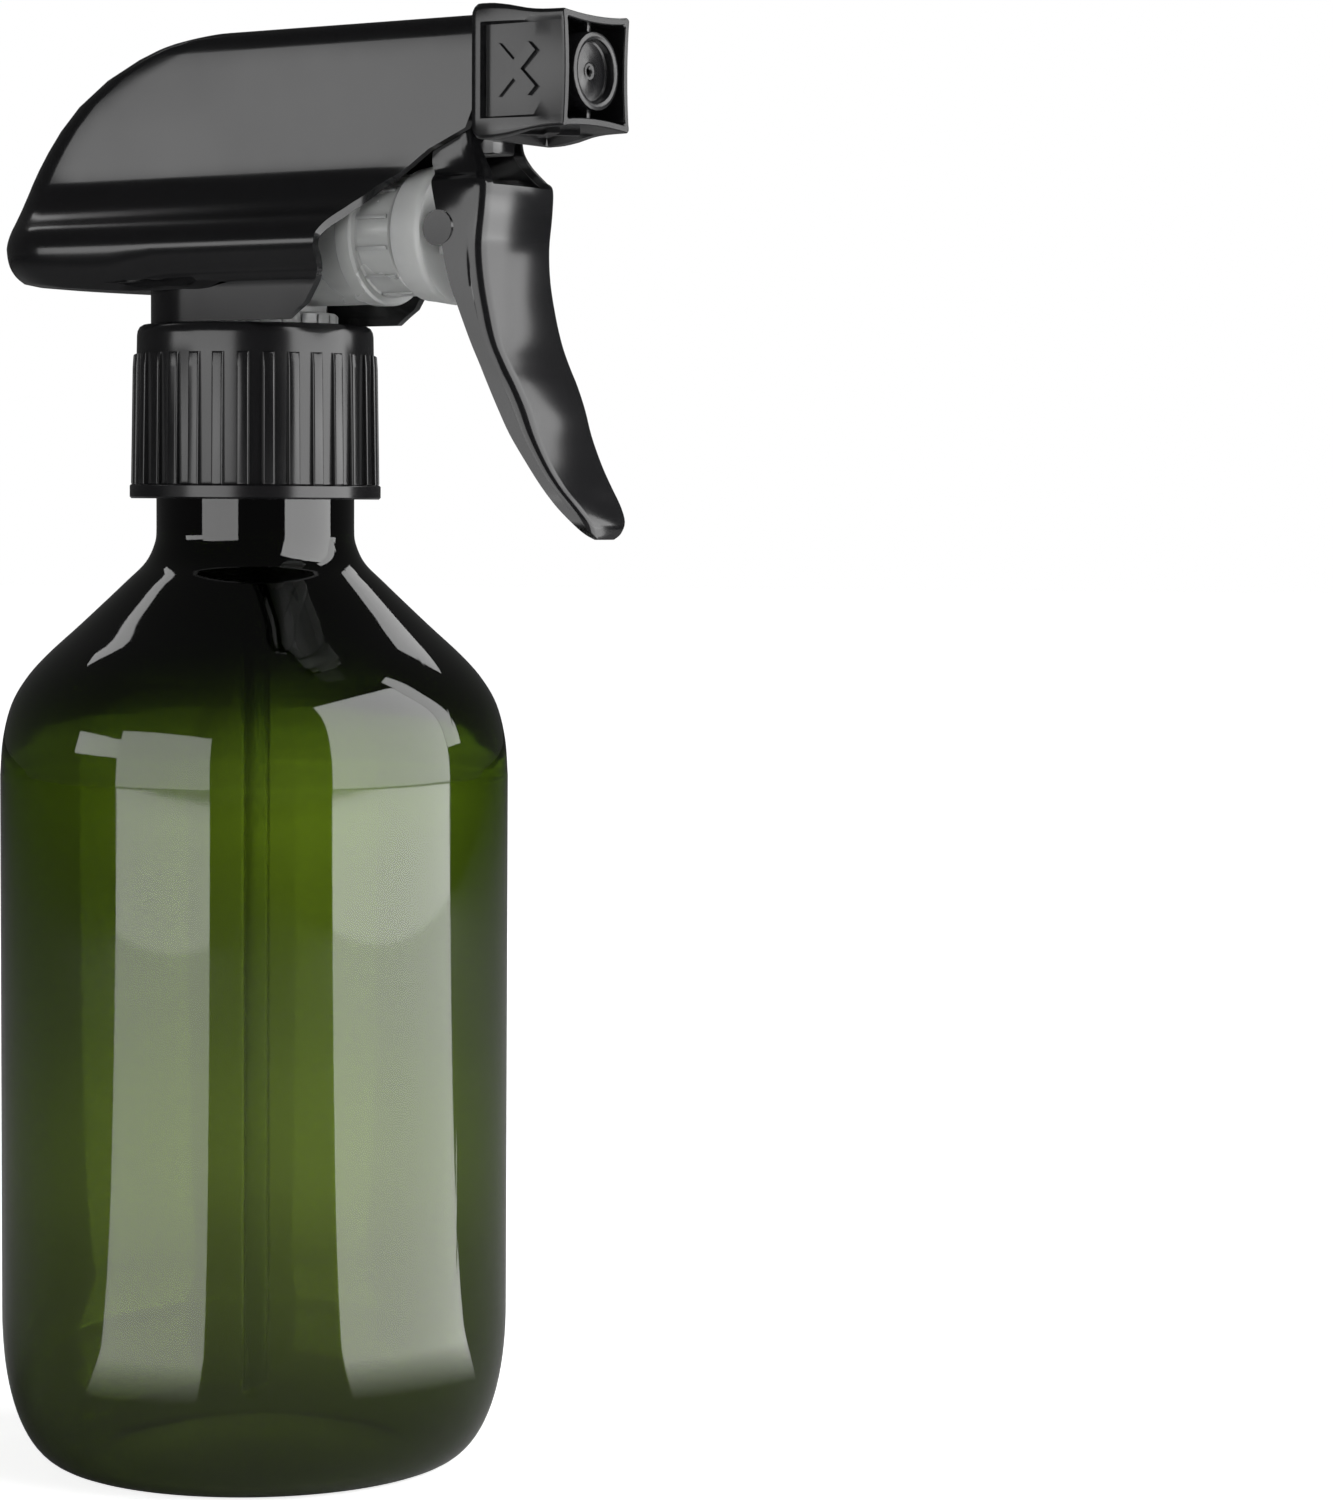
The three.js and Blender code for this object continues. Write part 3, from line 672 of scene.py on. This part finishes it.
def makeSpring():
    s = spring
    bm = bmesh.new()
    section = []
    for i in range(s["wireSteps"]):
        a = 2 * math.pi * i / s["wireSteps"]
        height = pump["height"] + s["radius"] + s["wire"] * math.cos(a)
        section.append((s["back"] + s["wire"] * math.sin(a), 0, height))
    rise = s["length"] / s["turns"]
    addHelix(bm, section, (0, 0, pump["height"]), (1, 0, 0), rise, s["turns"], 32)
    piece = finishMesh("returnSpring", bm)
    settle(piece, "head", ["return_spring"], wire)
    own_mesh(piece)


# Trigger: a splayed channel, open at the back

trigger = {
    "wall": 1.3,
    "plate": 1.6,
    "hollowFoot": 136.9,
    "openTop": 179.6,   # above this height only the two arms stand
    "crown": 0.42,      # the front plate bulges by this much
    "corner": 1.9,
    "cornerLoss": 1.2,  # the inner corner is this much tighter
    "armPoints": 14,    # of a section's points on each side, these belong to the arm
    "studRadius": 2.4,
    "studReach": (8.75, 9.62),
    "pivotRadius": 1.45,
    "pivotReach": (2.7, 5.4),
    # height, front face, rear edge, half width at the front, half width at the rear
    "rows": [
        (189.3, 41.6, 40.0, 6.4, 6.4), (188.6, 42.7, 38.7, 6.5, 6.5), (186.5, 43.1, 37.4, 6.5, 6.5),
        (184.6, 43.5, 36.4, 6.5, 6.5), (182.8, 44.6, 36.2, 6.8, 6.45), (181.4, 45.75, 36.7, 7.5, 6.55),
        (180.6, 46.3, 37.1, 8.05, 7.65), (179.6, 47.0, 37.6, 8.5, 8.5),
        (176.0, 46.8, 39.0, 8.4, 9.3), (171.5, 46.3, 40.2, 8.2, 9.6), (167.0, 46.6, 41.2, 8.0, 9.5),
        (162.5, 47.5, 43.0, 7.85, 9.35), (158.5, 48.6, 44.7, 7.8, 9.2), (155.5, 50.0, 46.1, 7.6, 9.0),
        (152.8, 51.5, 47.3, 7.5, 8.8), (149.5, 53.0, 48.8, 7.2, 8.5),
        (146.0, 54.2, 50.5, 6.9, 8.1), (142.2, 56.0, 52.9, 6.5, 7.6), (139.2, 57.9, 54.9, 6.1, 7.1),
        (136.6, 59.9, 56.8, 5.4, 6.4), (134.4, 61.2, 58.5, 4.6, 5.2), (132.8, 61.2, 59.6, 3.4, 3.6),
        (132.0, 60.8, 60.2, 2.0, 2.0),
    ],
}


def triggerSection(row, cornerRadius, sideSteps=7, cornerSteps=7, plateSteps=6):
    z, front, rear, halfFront, halfRear = row
    depth = max(front - rear, 0.02)
    corner = min(cornerRadius, depth * 0.45, halfFront * 0.45)
    crown = min(trigger["crown"] * halfFront / 8, depth * 0.3)
    slope = (halfRear - halfFront) / depth
    start = halfFront + slope * corner
    flat = start - corner
    points = []
    for i in range(sideSteps):
        x = (depth - corner) * i / sideSteps
        points.append((rear + x, -(halfRear - slope * x)))
    for i in range(cornerSteps):
        a = math.pi / 2 * i / cornerSteps
        points.append((rear + depth - corner * (1 - math.sin(a)) - crown, -(flat + corner * math.cos(a))))
    for i in range(plateSteps + 1):
        y = -flat * (1 - i / plateSteps)
        points.append((rear + depth - crown * (y / flat) ** 2, y))
    near = [Vector((x, y, z)) for x, y in points]
    return near + [Vector((p.x, -p.y, p.z)) for p in near[-2::-1]]


def addThick(bm, outer, inner, isOpen):  # two sheets, holes where isOpen says so, joined round their edges
    for rings in (outer, inner):
        strips = addSkin(bm, rings)
        missing = {v for i, verts in enumerate(strips) for j, v in enumerate(verts) if isOpen(i, j)}
        gone = [f for f in bm.faces if all(v in missing for v in f.verts)]
        bmesh.ops.delete(bm, geom=gone, context="FACES")
    rim = [e for e in bm.edges if e.is_boundary]
    bmesh.ops.bridge_loops(bm, edges=rim)


def makeTrigger():
    t = trigger
    rows = smoothRows(t["rows"], 4)
    topRow = sum(row[0] > t["openTop"] + 0.01 for row in rows)
    outer, inner = [], []
    for z, front, rear, halfFront, halfRear in rows:
        outer.append(triggerSection((z, front, rear, halfFront, halfRear), t["corner"]))
        inside = max(front - t["plate"], rear)
        narrow = (z, inside, rear, halfFront - t["wall"], halfRear - t["wall"])
        if z < t["hollowFoot"]:
            half = max(halfRear - t["wall"], 0.5)
            narrow = (z, rear, rear, half, half)
        inner.append(triggerSection(narrow, t["corner"] - t["cornerLoss"]))
    arm = t["armPoints"]
    columns = len(outer[0])
    bm = bmesh.new()
    addThick(bm, outer, inner, lambda i, j: i <= topRow and arm <= j < columns - arm)
    for side in (1, -1):
        stud = sorted(side * y for y in t["studReach"])
        axle = sorted(side * y for y in t["pivotReach"])
        addRodY(bm, t["studRadius"], pin["x"] + 0.1, pin["z"], *stud, steps=48)
        addRodY(bm, t["pivotRadius"], pivot["x"], pivot["z"], *axle)
    piece = finishMesh("triggerLever", bm, smoothAngle=50)
    addBevel(piece, 0.2, segments=3, angle=50)
    piece.visible_glossy = False
    settle(piece, "trigger_lever", ["trigger"], triggerPlastic)


# Shroud: one thin shell with a skirt round the neck

shroud = {
    "wall": 1.2,
    "skirtHalf": 13.0,
    "skirtCentre": -2.3,
    "skirtHeights": (167.2, 166.4, 165.3, 164.1, 163.0, 161.9),
    "join": 167.6,
    # height and place of the rounded tail's tip
    "tail": [(202.4, -5.5), (201.8, -10.2), (201, -14.5), (199.5, -19.2), (198, -22.8), (196, -26.7),
             (193, -31.0), (190, -34.1), (186, -37.3), (182, -39.8), (178, -41.4), (174, -42.3),
             (172.6, -42.3), (171.0, -41.8), (169.8, -40.7), (169.0, -39.2)],
    # height and half width
    "half": [(202.4, 5.4), (202.25, 6.1), (201.8, 6.8), (201.0, 7.25), (199.5, 7.5), (190, 7.75),
             (182.5, 8.0), (180.5, 8.5), (178.6, 9.6), (177.0, 11.1), (175.6, 12.7), (174.2, 13.75),
             (172.6, 14.2), (171.0, 14.1), (169.8, 13.75), (169.0, 13.3)],
    # height and place of the front edge
    "edge": [(202.4, 44.0), (187.6, 44.0), (187.1, 42.6), (186.3, 39.6), (184.2, 36.0), (182.0, 32.8),
             (179.9, 28.7), (177.5, 25.6), (175.0, 23.1), (173.4, 21.9), (171.6, 21.7), (169.8, 22.0),
             (167.0, 21.2), (164.1, 19.3), (163.2, 17.9), (161.9, 16.1)],
    # the closed underside: share of the way to the skirt, and drop
    "under": [(0.12, 0.55), (0.3, 0.95), (0.55, 1.15), (0.8, 1.2), (0.93, 1.35)],
    "tailLift": 1.2,    # the underside's height at the tail and at the middle
    "middleSag": 1.9,
}


def hoodSection(z, half, tip, frontX, centreX=None, arcSteps=22, sideSteps=12):
    start = tip + half if centreX is None else centreX
    near = [Vector((frontX + (start - frontX) * i / sideSteps, -half, z)) for i in range(sideSteps)]
    arc = []
    for i in range(arcSteps + 1):
        a = math.pi * i / arcSteps
        arc.append(Vector((start - (start - tip) * math.sin(a), -half * math.cos(a), z)))
    far = [Vector((p.x, -p.y, p.z)) for p in near[::-1]]
    return near + arc + far


def underLift(point):
    back = min(max((-7 - point.x) / 9, 0), 1)
    tail = min(max((-18 - point.x) / 24, 0), 1)
    low = min(max((173 - point.z) / 4, 0), 1)
    return (shroud["tailLift"] * tail - shroud["middleSag"] * back * back * (3 - 2 * back)) * low


def makeShroud():
    s = shroud
    tail = smoothRows(s["tail"], 6)
    rings = []
    for z, half in smoothRows(s["half"], 3):
        tip = readRows(tail, z)[1]
        section = hoodSection(z, half, tip, readRows(s["edge"], z)[1])
        rings.append([p + Vector((0, 0, underLift(p))) for p in section])
    skirtTip = s["skirtCentre"] - s["skirtHalf"]

    def skirtSection(z):
        return hoodSection(z, s["skirtHalf"], skirtTip, readRows(s["edge"], z)[1], s["skirtCentre"])

    lastHood = rings[-1]
    join = skirtSection(s["join"])
    for t, drop in s["under"]:
        ring = []
        for p, q in zip(lastHood, join):
            level = p.z - drop + (q.z - p.z + 1.2) * t * 0.35
            ring.append(Vector((p.x + (q.x - p.x) * t, p.y + (q.y - p.y) * t, level)))
        rings.append(ring)
    rings += [skirtSection(z) for z in s["skirtHeights"]]
    bm = bmesh.new()
    loops = addSkin(bm, rings)
    bm.faces.new(loops[0])
    piece = finishMesh("pumpShroud", bm, smoothAngle=50)
    addWall(piece, s["wall"])
    addBevel(piece, 0.25, segments=3, angle=50)
    settle(piece, "head", ["shroud"], shroudPlastic)


# Nozzle: a square cap that turns on the barrel

nozzle = {
    "back": 44.2,
    "front": 58.8,
    "hollowDepth": 6.9,
    "panel": 7.82,      # the recessed panels lie this far from the axis
    "panelHalf": 6.1,
    "panelBack": 1.9,
    "bore": 4.95,
    "boreDepth": 6.7,
    "chamber": 2.9,
    "floorSetback": 0.8,
    "markPlace": 6.7,
    "markArm": 1.7,
    "markLength": 8.4,
    "markRise": 0.35,
    "markRoot": 0.5,
    # the webs that hold the cup: half width, and from and to beside the axis
    "webHalf": 0.45,
    "webReach": (5.2, 6.9),
    # distance from the back, half width, corner radius, how far the middle of each side pulls in
    "rows": [(0, 8.3, 1.3, 0), (0.12, 8.5, 1.3, 0), (0.4, 8.75, 1.3, 0), (1.0, 9.0, 1.2, 0),
             (1.75, 9.0, 1.1, 0), (2.05, 8.99, 1.05, 0.01), (3.5, 8.93, 0.9, 0.05), (6.0, 8.58, 0.7, 0.1),
             (8.5, 8.08, 0.6, 0.2), (11, 7.82, 0.6, 0.32), (14.0, 7.75, 0.6, 0.42),
             (14.45, 7.73, 0.6, 0.42), (14.6, 7.6, 0.5, 0.42)],
}


def squareRing(x, half, corner, pull, sunk=0.0, cornerSteps=4):
    flat = half - corner
    edge = nozzle["panelHalf"] * min(1, (half - 1.4) / nozzle["panelHalf"])
    panel = [edge * part for part in (-1, -0.66, -0.33, 0, 0.33, 0.66, 1)]
    across = [-flat, -edge - 0.3] + panel + [edge + 0.3]
    side = [(t, half - pull * (1 - (t / half) ** 2) - (sunk if abs(t) <= edge else 0)) for t in across]
    for i in range(cornerSteps):
        a = math.pi / 2 * i / cornerSteps
        side.append((flat + corner * math.sin(a), flat + corner * math.cos(a)))
    ring = []
    for turn in range(4):
        c, n = round(math.cos(turn * math.pi / 2)), round(math.sin(turn * math.pi / 2))
        for t, h in side:
            ring.append(Vector((nozzle["back"] + x, t * c + h * n, pump["barrelHeight"] - t * n + h * c)))
    return ring


def roundRing(x, radius):  # as many points as a square ring, in the same directions
    ring = []
    for p in squareRing(x, 7.75, 0.6, 0):
        a = math.atan2(p.y, p.z - pump["barrelHeight"])
        ring.append(Vector((p.x, radius * math.sin(a), pump["barrelHeight"] + radius * math.cos(a))))
    return ring


def makeNozzle():
    n = nozzle
    length = n["front"] - n["back"]
    depth, bore, chamber = n["boreDepth"], n["bore"], n["chamber"]
    floor = n["hollowDepth"] + n["floorSetback"]
    rings = [roundRing(depth, chamber), roundRing(depth, bore)]
    rings += [roundRing(0.3, bore), roundRing(0, bore + 0.3)]
    for x, half, corner, pull in smoothRows(n["rows"], 2):
        sunk = max(0, half - n["panel"] + 0.02) if x > n["panelBack"] else 0
        rings.append(squareRing(x, half, corner, pull, min(sunk, 1.2)))
    mouth = [(length, 6.85, 0.5), (length - 0.15, 6.72, 0.5), (floor + 0.4, 6.3, 0.6), (floor, 5.95, 0.8)]
    rings += [squareRing(x, half, corner, 0.4) for x, half, corner in mouth]
    cup = [(floor, 5.55), (floor + 0.2, 5.35), (length - 0.4, 5.3), (length - 0.12, 5.2), (length, 4.95),
           (length, 4.5), (length - 0.12, 4.28), (length - 0.35, 4.2), (length - 1.2, 4.15),
           (length - 1.4, 3.95), (length - 1.4, 1.35), (length - 1.32, 1.2), (length - 1.2, 1.1),
           (length - 1.2, 0.75), (length - 1.3, 0.6), (length - 1.5, 0.45), (length - 3.4, 0.42),
           (length - 4.2, 0.9), (length - 4.3, chamber), (depth + 0.4, chamber)]
    rings += [roundRing(x, r) for x, r in cup]
    bm = bmesh.new()
    addSkin(bm, rings, closed=True)
    ends = [e for e in bm.edges if e.is_boundary]
    bmesh.ops.bridge_loops(bm, edges=ends)
    arm, half, root = n["markArm"] / 2, n["markLength"] / 2, n["markRoot"]
    quarter = [(arm, half), (arm, arm), (half, arm)]
    cross = []
    for k in range(4):
        c, d = round(math.cos(k * math.pi / 2)), round(math.sin(k * math.pi / 2))
        cross += [(x * c + y * d, y * c - x * d) for x, y in quarter]
    diagonal = [((x - y) * math.sqrt(0.5), (x + y) * math.sqrt(0.5)) for x, y in cross]
    for turn in range(4):  # a raised cross on each side
        before = len(bm.verts)
        outline = [(n["back"] + n["markPlace"] + x, y, n["panel"] - root) for x, y in diagonal]
        verts, edges = addStrip(bm, outline, closed=True)
        top = bmesh.ops.extrude_edge_only(bm, edges=edges)["geom"]
        raised = [v for v in top if isinstance(v, bmesh.types.BMVert)]
        bmesh.ops.translate(bm, vec=(0, 0, root + n["markRise"]), verts=raised)
        rim = [e for e in top if isinstance(e, bmesh.types.BMEdge) and all(v in raised for v in e.verts)]
        bmesh.ops.edgeloop_fill(bm, edges=rim)
        bmesh.ops.edgeloop_fill(bm, edges=edges)
        fresh = list(bm.verts)[before:]
        about = Matrix.Rotation(turn * math.pi / 2, 3, "X")
        bmesh.ops.rotate(bm, cent=(0, 0, 0), matrix=about, verts=fresh)
        bmesh.ops.translate(bm, vec=(0, 0, pump["barrelHeight"]), verts=fresh)
    near, out = n["webReach"]
    for low, high in ((near, out), (-out, -near)):
        z = pump["barrelHeight"]
        addBlock(bm, (n["back"] + floor - 0.2, n["front"] - 1.3), (-n["webHalf"], n["webHalf"]),
                 (z + low, z + high), bevelWidth=0.1)
    piece = finishMesh("turningNozzle", bm, smoothAngle=32)
    addBevel(piece, 0.1, segments=2, angle=32)
    settle(piece, "nozzle_cap", ["nozzle"], nozzlePlastic)


makeBottle()
makeClosure()
makeConnector()
makeDipTube()
makePumpBody()
makePiston()
makeSpring()
makeTrigger()
makeShroud()
makeNozzle()


# CAD pieces that keep their shape

for node, material in (("neck_gasket", foam), ("inlet_ball", ballGlass), ("piston_seal", foam),
                       ("outlet_valve", naturalPiston), ("swirl_plug", naturalPiston)):
    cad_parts[node].data.materials.clear()
    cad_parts[node].data.materials.append(material)


# Studio

studio = {
    "floorRadius": 6.0,
    "floorColour": (0.86, 0.86, 0.86, 1),
    "floorRough": 0.9,
    "nearGlowPaintedShadow": 0.80,    # painted shadow: the floor glows only this much up to nearRadius, over its real lit shadow
    "farGlow": 1.0,       # and this much from farRadius on
    "nearRadius": 0.05,
    "farRadius": 0.30,
    # painted glow, seen only through the bottle: distance from the bottle and half the glow
    "paintedGlowBehind": [(0.0, 0.22), (0.09, 0.24), (0.16, 0.34), (0.34, 0.70), (0.54, 0.62), (1.0, 0.85)],
    "lampDistance": 1.1,
    # strength of the painted reflection of the softboxes' lower ends, in times their brightness
    "paintedFeetGain": 2.2,
    "paintedLeftShade": 0.45,    # painted shade: the glow through the bottle is this much weaker on the far left
    "shadeFrom": -0.07,
    "shadeTo": 0.02,
    "dimRadius": 0.065,   # inside it the painted reflection of the softboxes' lower ends doesn't show
    "dimWidth": 0.05,
    "paintedShineLoss": 0.6,     # painted shade: the floor's colour is this much darker in reflections
    "paintedThroughLoss": 0.9,   # and this much through the bottle
    "skyForEye": 1.0,
    "skyForGloss": 0.055,
}


def makeFloor():
    s = studio
    bm = bmesh.new()
    bmesh.ops.create_circle(bm, cap_ends=True, radius=s["floorRadius"], segments=96)
    mesh = bpy.data.meshes.new("floor")
    bm.to_mesh(mesh)
    bm.free()
    floor = bpy.data.objects.new("floor", mesh)
    scene.collection.objects.link(floor)
    floor.location = (axisX, 0, -0.0002)
    material, nodes, links, shader = newMaterial("paleFloorPaintedLight")
    shader.inputs["Roughness"].default_value = s["floorRough"]
    shader.inputs["Specular IOR Level"].default_value = 0.0
    shader.inputs["Emission Color"].default_value = (1, 1, 1, 1)
    place = nodes.new("ShaderNodeTexCoord")
    split = nodes.new("ShaderNodeSeparateXYZ")
    links.new(place.outputs["Object"], split.inputs["Vector"])
    reach = nodes.new("ShaderNodeVectorMath")
    reach.operation = "LENGTH"
    links.new(place.outputs["Object"], reach.inputs[0])
    far = reach.outputs["Value"]
    path = nodes.new("ShaderNodeLightPath")
    glossy, through = path.outputs["Is Glossy Ray"], path.outputs["Is Transmission Ray"]

    def compute(operation, *values):
        return mathOf(nodes, links, operation, *values)

    # painted reflection: the floor glows in the directions of the softboxes' lower ends, seen only in
    # reflections and through the bottle
    side = compute("ARCTAN2", split.outputs["Y"], split.outputs["X"])
    front = math.radians(camera["azimuth"] - 90)
    paintedFeet = 0.0
    for name in ("leftFoot", "rightFoot"):
        low, high, _, _, bright = softboxes[name]
        middle = front + math.radians((low + high) / 2)
        offCentre = compute("ABSOLUTE", compute("SUBTRACT", side, middle))
        inside = compute("LESS_THAN", offCentre, math.radians((high - low) / 2))
        paintedFeet = compute("ADD", paintedFeet, compute("MULTIPLY", inside, bright * s["paintedFeetGain"]))
    away = rangeOf(nodes, links, far, 0.0, 1.0, s["dimRadius"], s["dimRadius"] + s["dimWidth"])
    shine = compute("MULTIPLY", compute("MULTIPLY", paintedFeet, away), compute("ADD", glossy, through))

    # painted glow, seen only through the bottle, with painted shade on the far left
    behind = nodes.new("ShaderNodeFloatCurve")
    points = behind.mapping.curves[0].points
    for distance, height in s["paintedGlowBehind"][1:-1]:
        points.new(distance, height)
    points[0].location = s["paintedGlowBehind"][0]
    points[-1].location = s["paintedGlowBehind"][-1]
    behind.mapping.update()
    links.new(far, behind.inputs["Value"])
    across = compute("ADD", compute("MULTIPLY", split.outputs["X"], math.cos(front + math.pi / 2)),
                     compute("MULTIPLY", split.outputs["Y"], math.sin(front + math.pi / 2)))
    paintedFall = rangeOf(nodes, links, across, s["paintedLeftShade"], 1.0, s["shadeFrom"], s["shadeTo"])
    glow = compute("MULTIPLY", behind.outputs["Value"], compute("MULTIPLY", paintedFall, 2.0))
    paintedBackGlow = compute("MULTIPLY", glow, through)

    # the floor seen straight on glows less near the bottle, a painted shadow on top of its real lit shadow
    paleWithPaintedShadow = rangeOf(nodes, links, far, s["nearGlowPaintedShadow"], s["farGlow"], s["nearRadius"], s["farRadius"])
    frontGlow = compute("MULTIPLY", path.outputs["Is Camera Ray"], paleWithPaintedShadow)
    links.new(compute("ADD", shine, compute("ADD", paintedBackGlow, frontGlow)), shader.inputs["Emission Strength"])
    # painted shade: the floor's colour is darker in reflections and through the bottle
    shade = compute("MULTIPLY", compute("SUBTRACT", 1.0, compute("MULTIPLY", glossy, s["paintedShineLoss"])),
                    compute("SUBTRACT", 1.0, compute("MULTIPLY", through, s["paintedThroughLoss"])))
    links.new(mixOf(nodes, links, (0, 0, 0, 1), s["floorColour"], shade), shader.inputs["Base Color"])
    floor.data.materials.append(material)


def makeWorld():
    world = bpy.data.worlds.new("studio")
    scene.world = world
    world.use_nodes = True
    nodes, links = world.node_tree.nodes, world.node_tree.links
    background = nodes["Background"]
    background.inputs["Color"].default_value = (1, 1, 1, 1)
    path = nodes.new("ShaderNodeLightPath")
    seen = mathOf(nodes, links, "MAXIMUM", path.outputs["Is Camera Ray"], path.outputs["Is Transmission Ray"])
    strength = rangeOf(nodes, links, seen, studio["skyForGloss"], studio["skyForEye"], 0.0, 1.0)
    links.new(strength, background.inputs["Strength"])


camera = {
    "distance": 600.0,   # from the bottle's axis
    "azimuth": 39.5,
    "eye": 137.2,
    "turn": (86.607, -0.338, 33.912),
    "lens": 100.63,
    "sensor": 36,
}


def makeCamera():
    c = camera
    data = bpy.data.cameras.new("camera")
    data.lens = c["lens"]
    data.sensor_width = c["sensor"]
    data.sensor_fit = "AUTO"
    data.clip_start = 0.05
    data.clip_end = 50
    eye = bpy.data.objects.new("camera", data)
    a, distance = math.radians(c["azimuth"]), c["distance"] * mm
    eye.location = (axisX + distance * math.sin(a), -distance * math.cos(a), c["eye"] * mm)
    eye.rotation_euler = [math.radians(v) for v in c["turn"]]
    scene.collection.objects.link(eye)
    scene.camera = eye


# Each softbox: from and to in degrees beside the camera, from and to in height, brightness
softboxes = {
    "left": (-64, -20, 0.1, 0.54, 3.0),
    "leftFoot": (-64, -20, 0.0, 0.1, 1.2),
    "leftFar": (-88, -64, 0.23, 0.42, 3.3),
    "right": (34, 97, 0.1, 1.52, 4.5),
    "rightFoot": (34, 97, 0.0, 0.1, 1.75),
    "rightFar": (97, 107, 0.25, 1.52, 3.6),
    "rimLeft": (-139, -133, 1.0, 1.3, 2.2),
    "rimRight": (136, 148, 0.8, 1.1, 2.2),
}


def makeSoftboxes():
    target = Vector((axisX, 0, 0.12))
    distance = studio["lampDistance"]
    for name, (low, high, foot, top, bright) in softboxes.items():
        a = math.radians(camera["azimuth"] - 90 + (low + high) / 2)
        width = 2 * distance * math.tan(math.radians((high - low) / 2))
        tall, height = top - foot, (foot + top) / 2
        data = bpy.data.lights.new(name, "AREA")
        data.shape = "RECTANGLE"
        data.size, data.size_y = width, tall
        data.energy = bright * math.pi * width * tall
        lamp = bpy.data.objects.new(name, data)
        lamp.location = target + Vector((math.cos(a) * distance, math.sin(a) * distance, height - target.z))
        aim = target - lamp.location
        if not name.startswith("rim"):
            aim.z = 0
        lamp.rotation_euler = aim.to_track_quat("-Z", "Y").to_euler()
        scene.collection.objects.link(lamp)


makeFloor()
makeWorld()
makeCamera()
makeSoftboxes()
scene.view_settings.view_transform = "Standard"
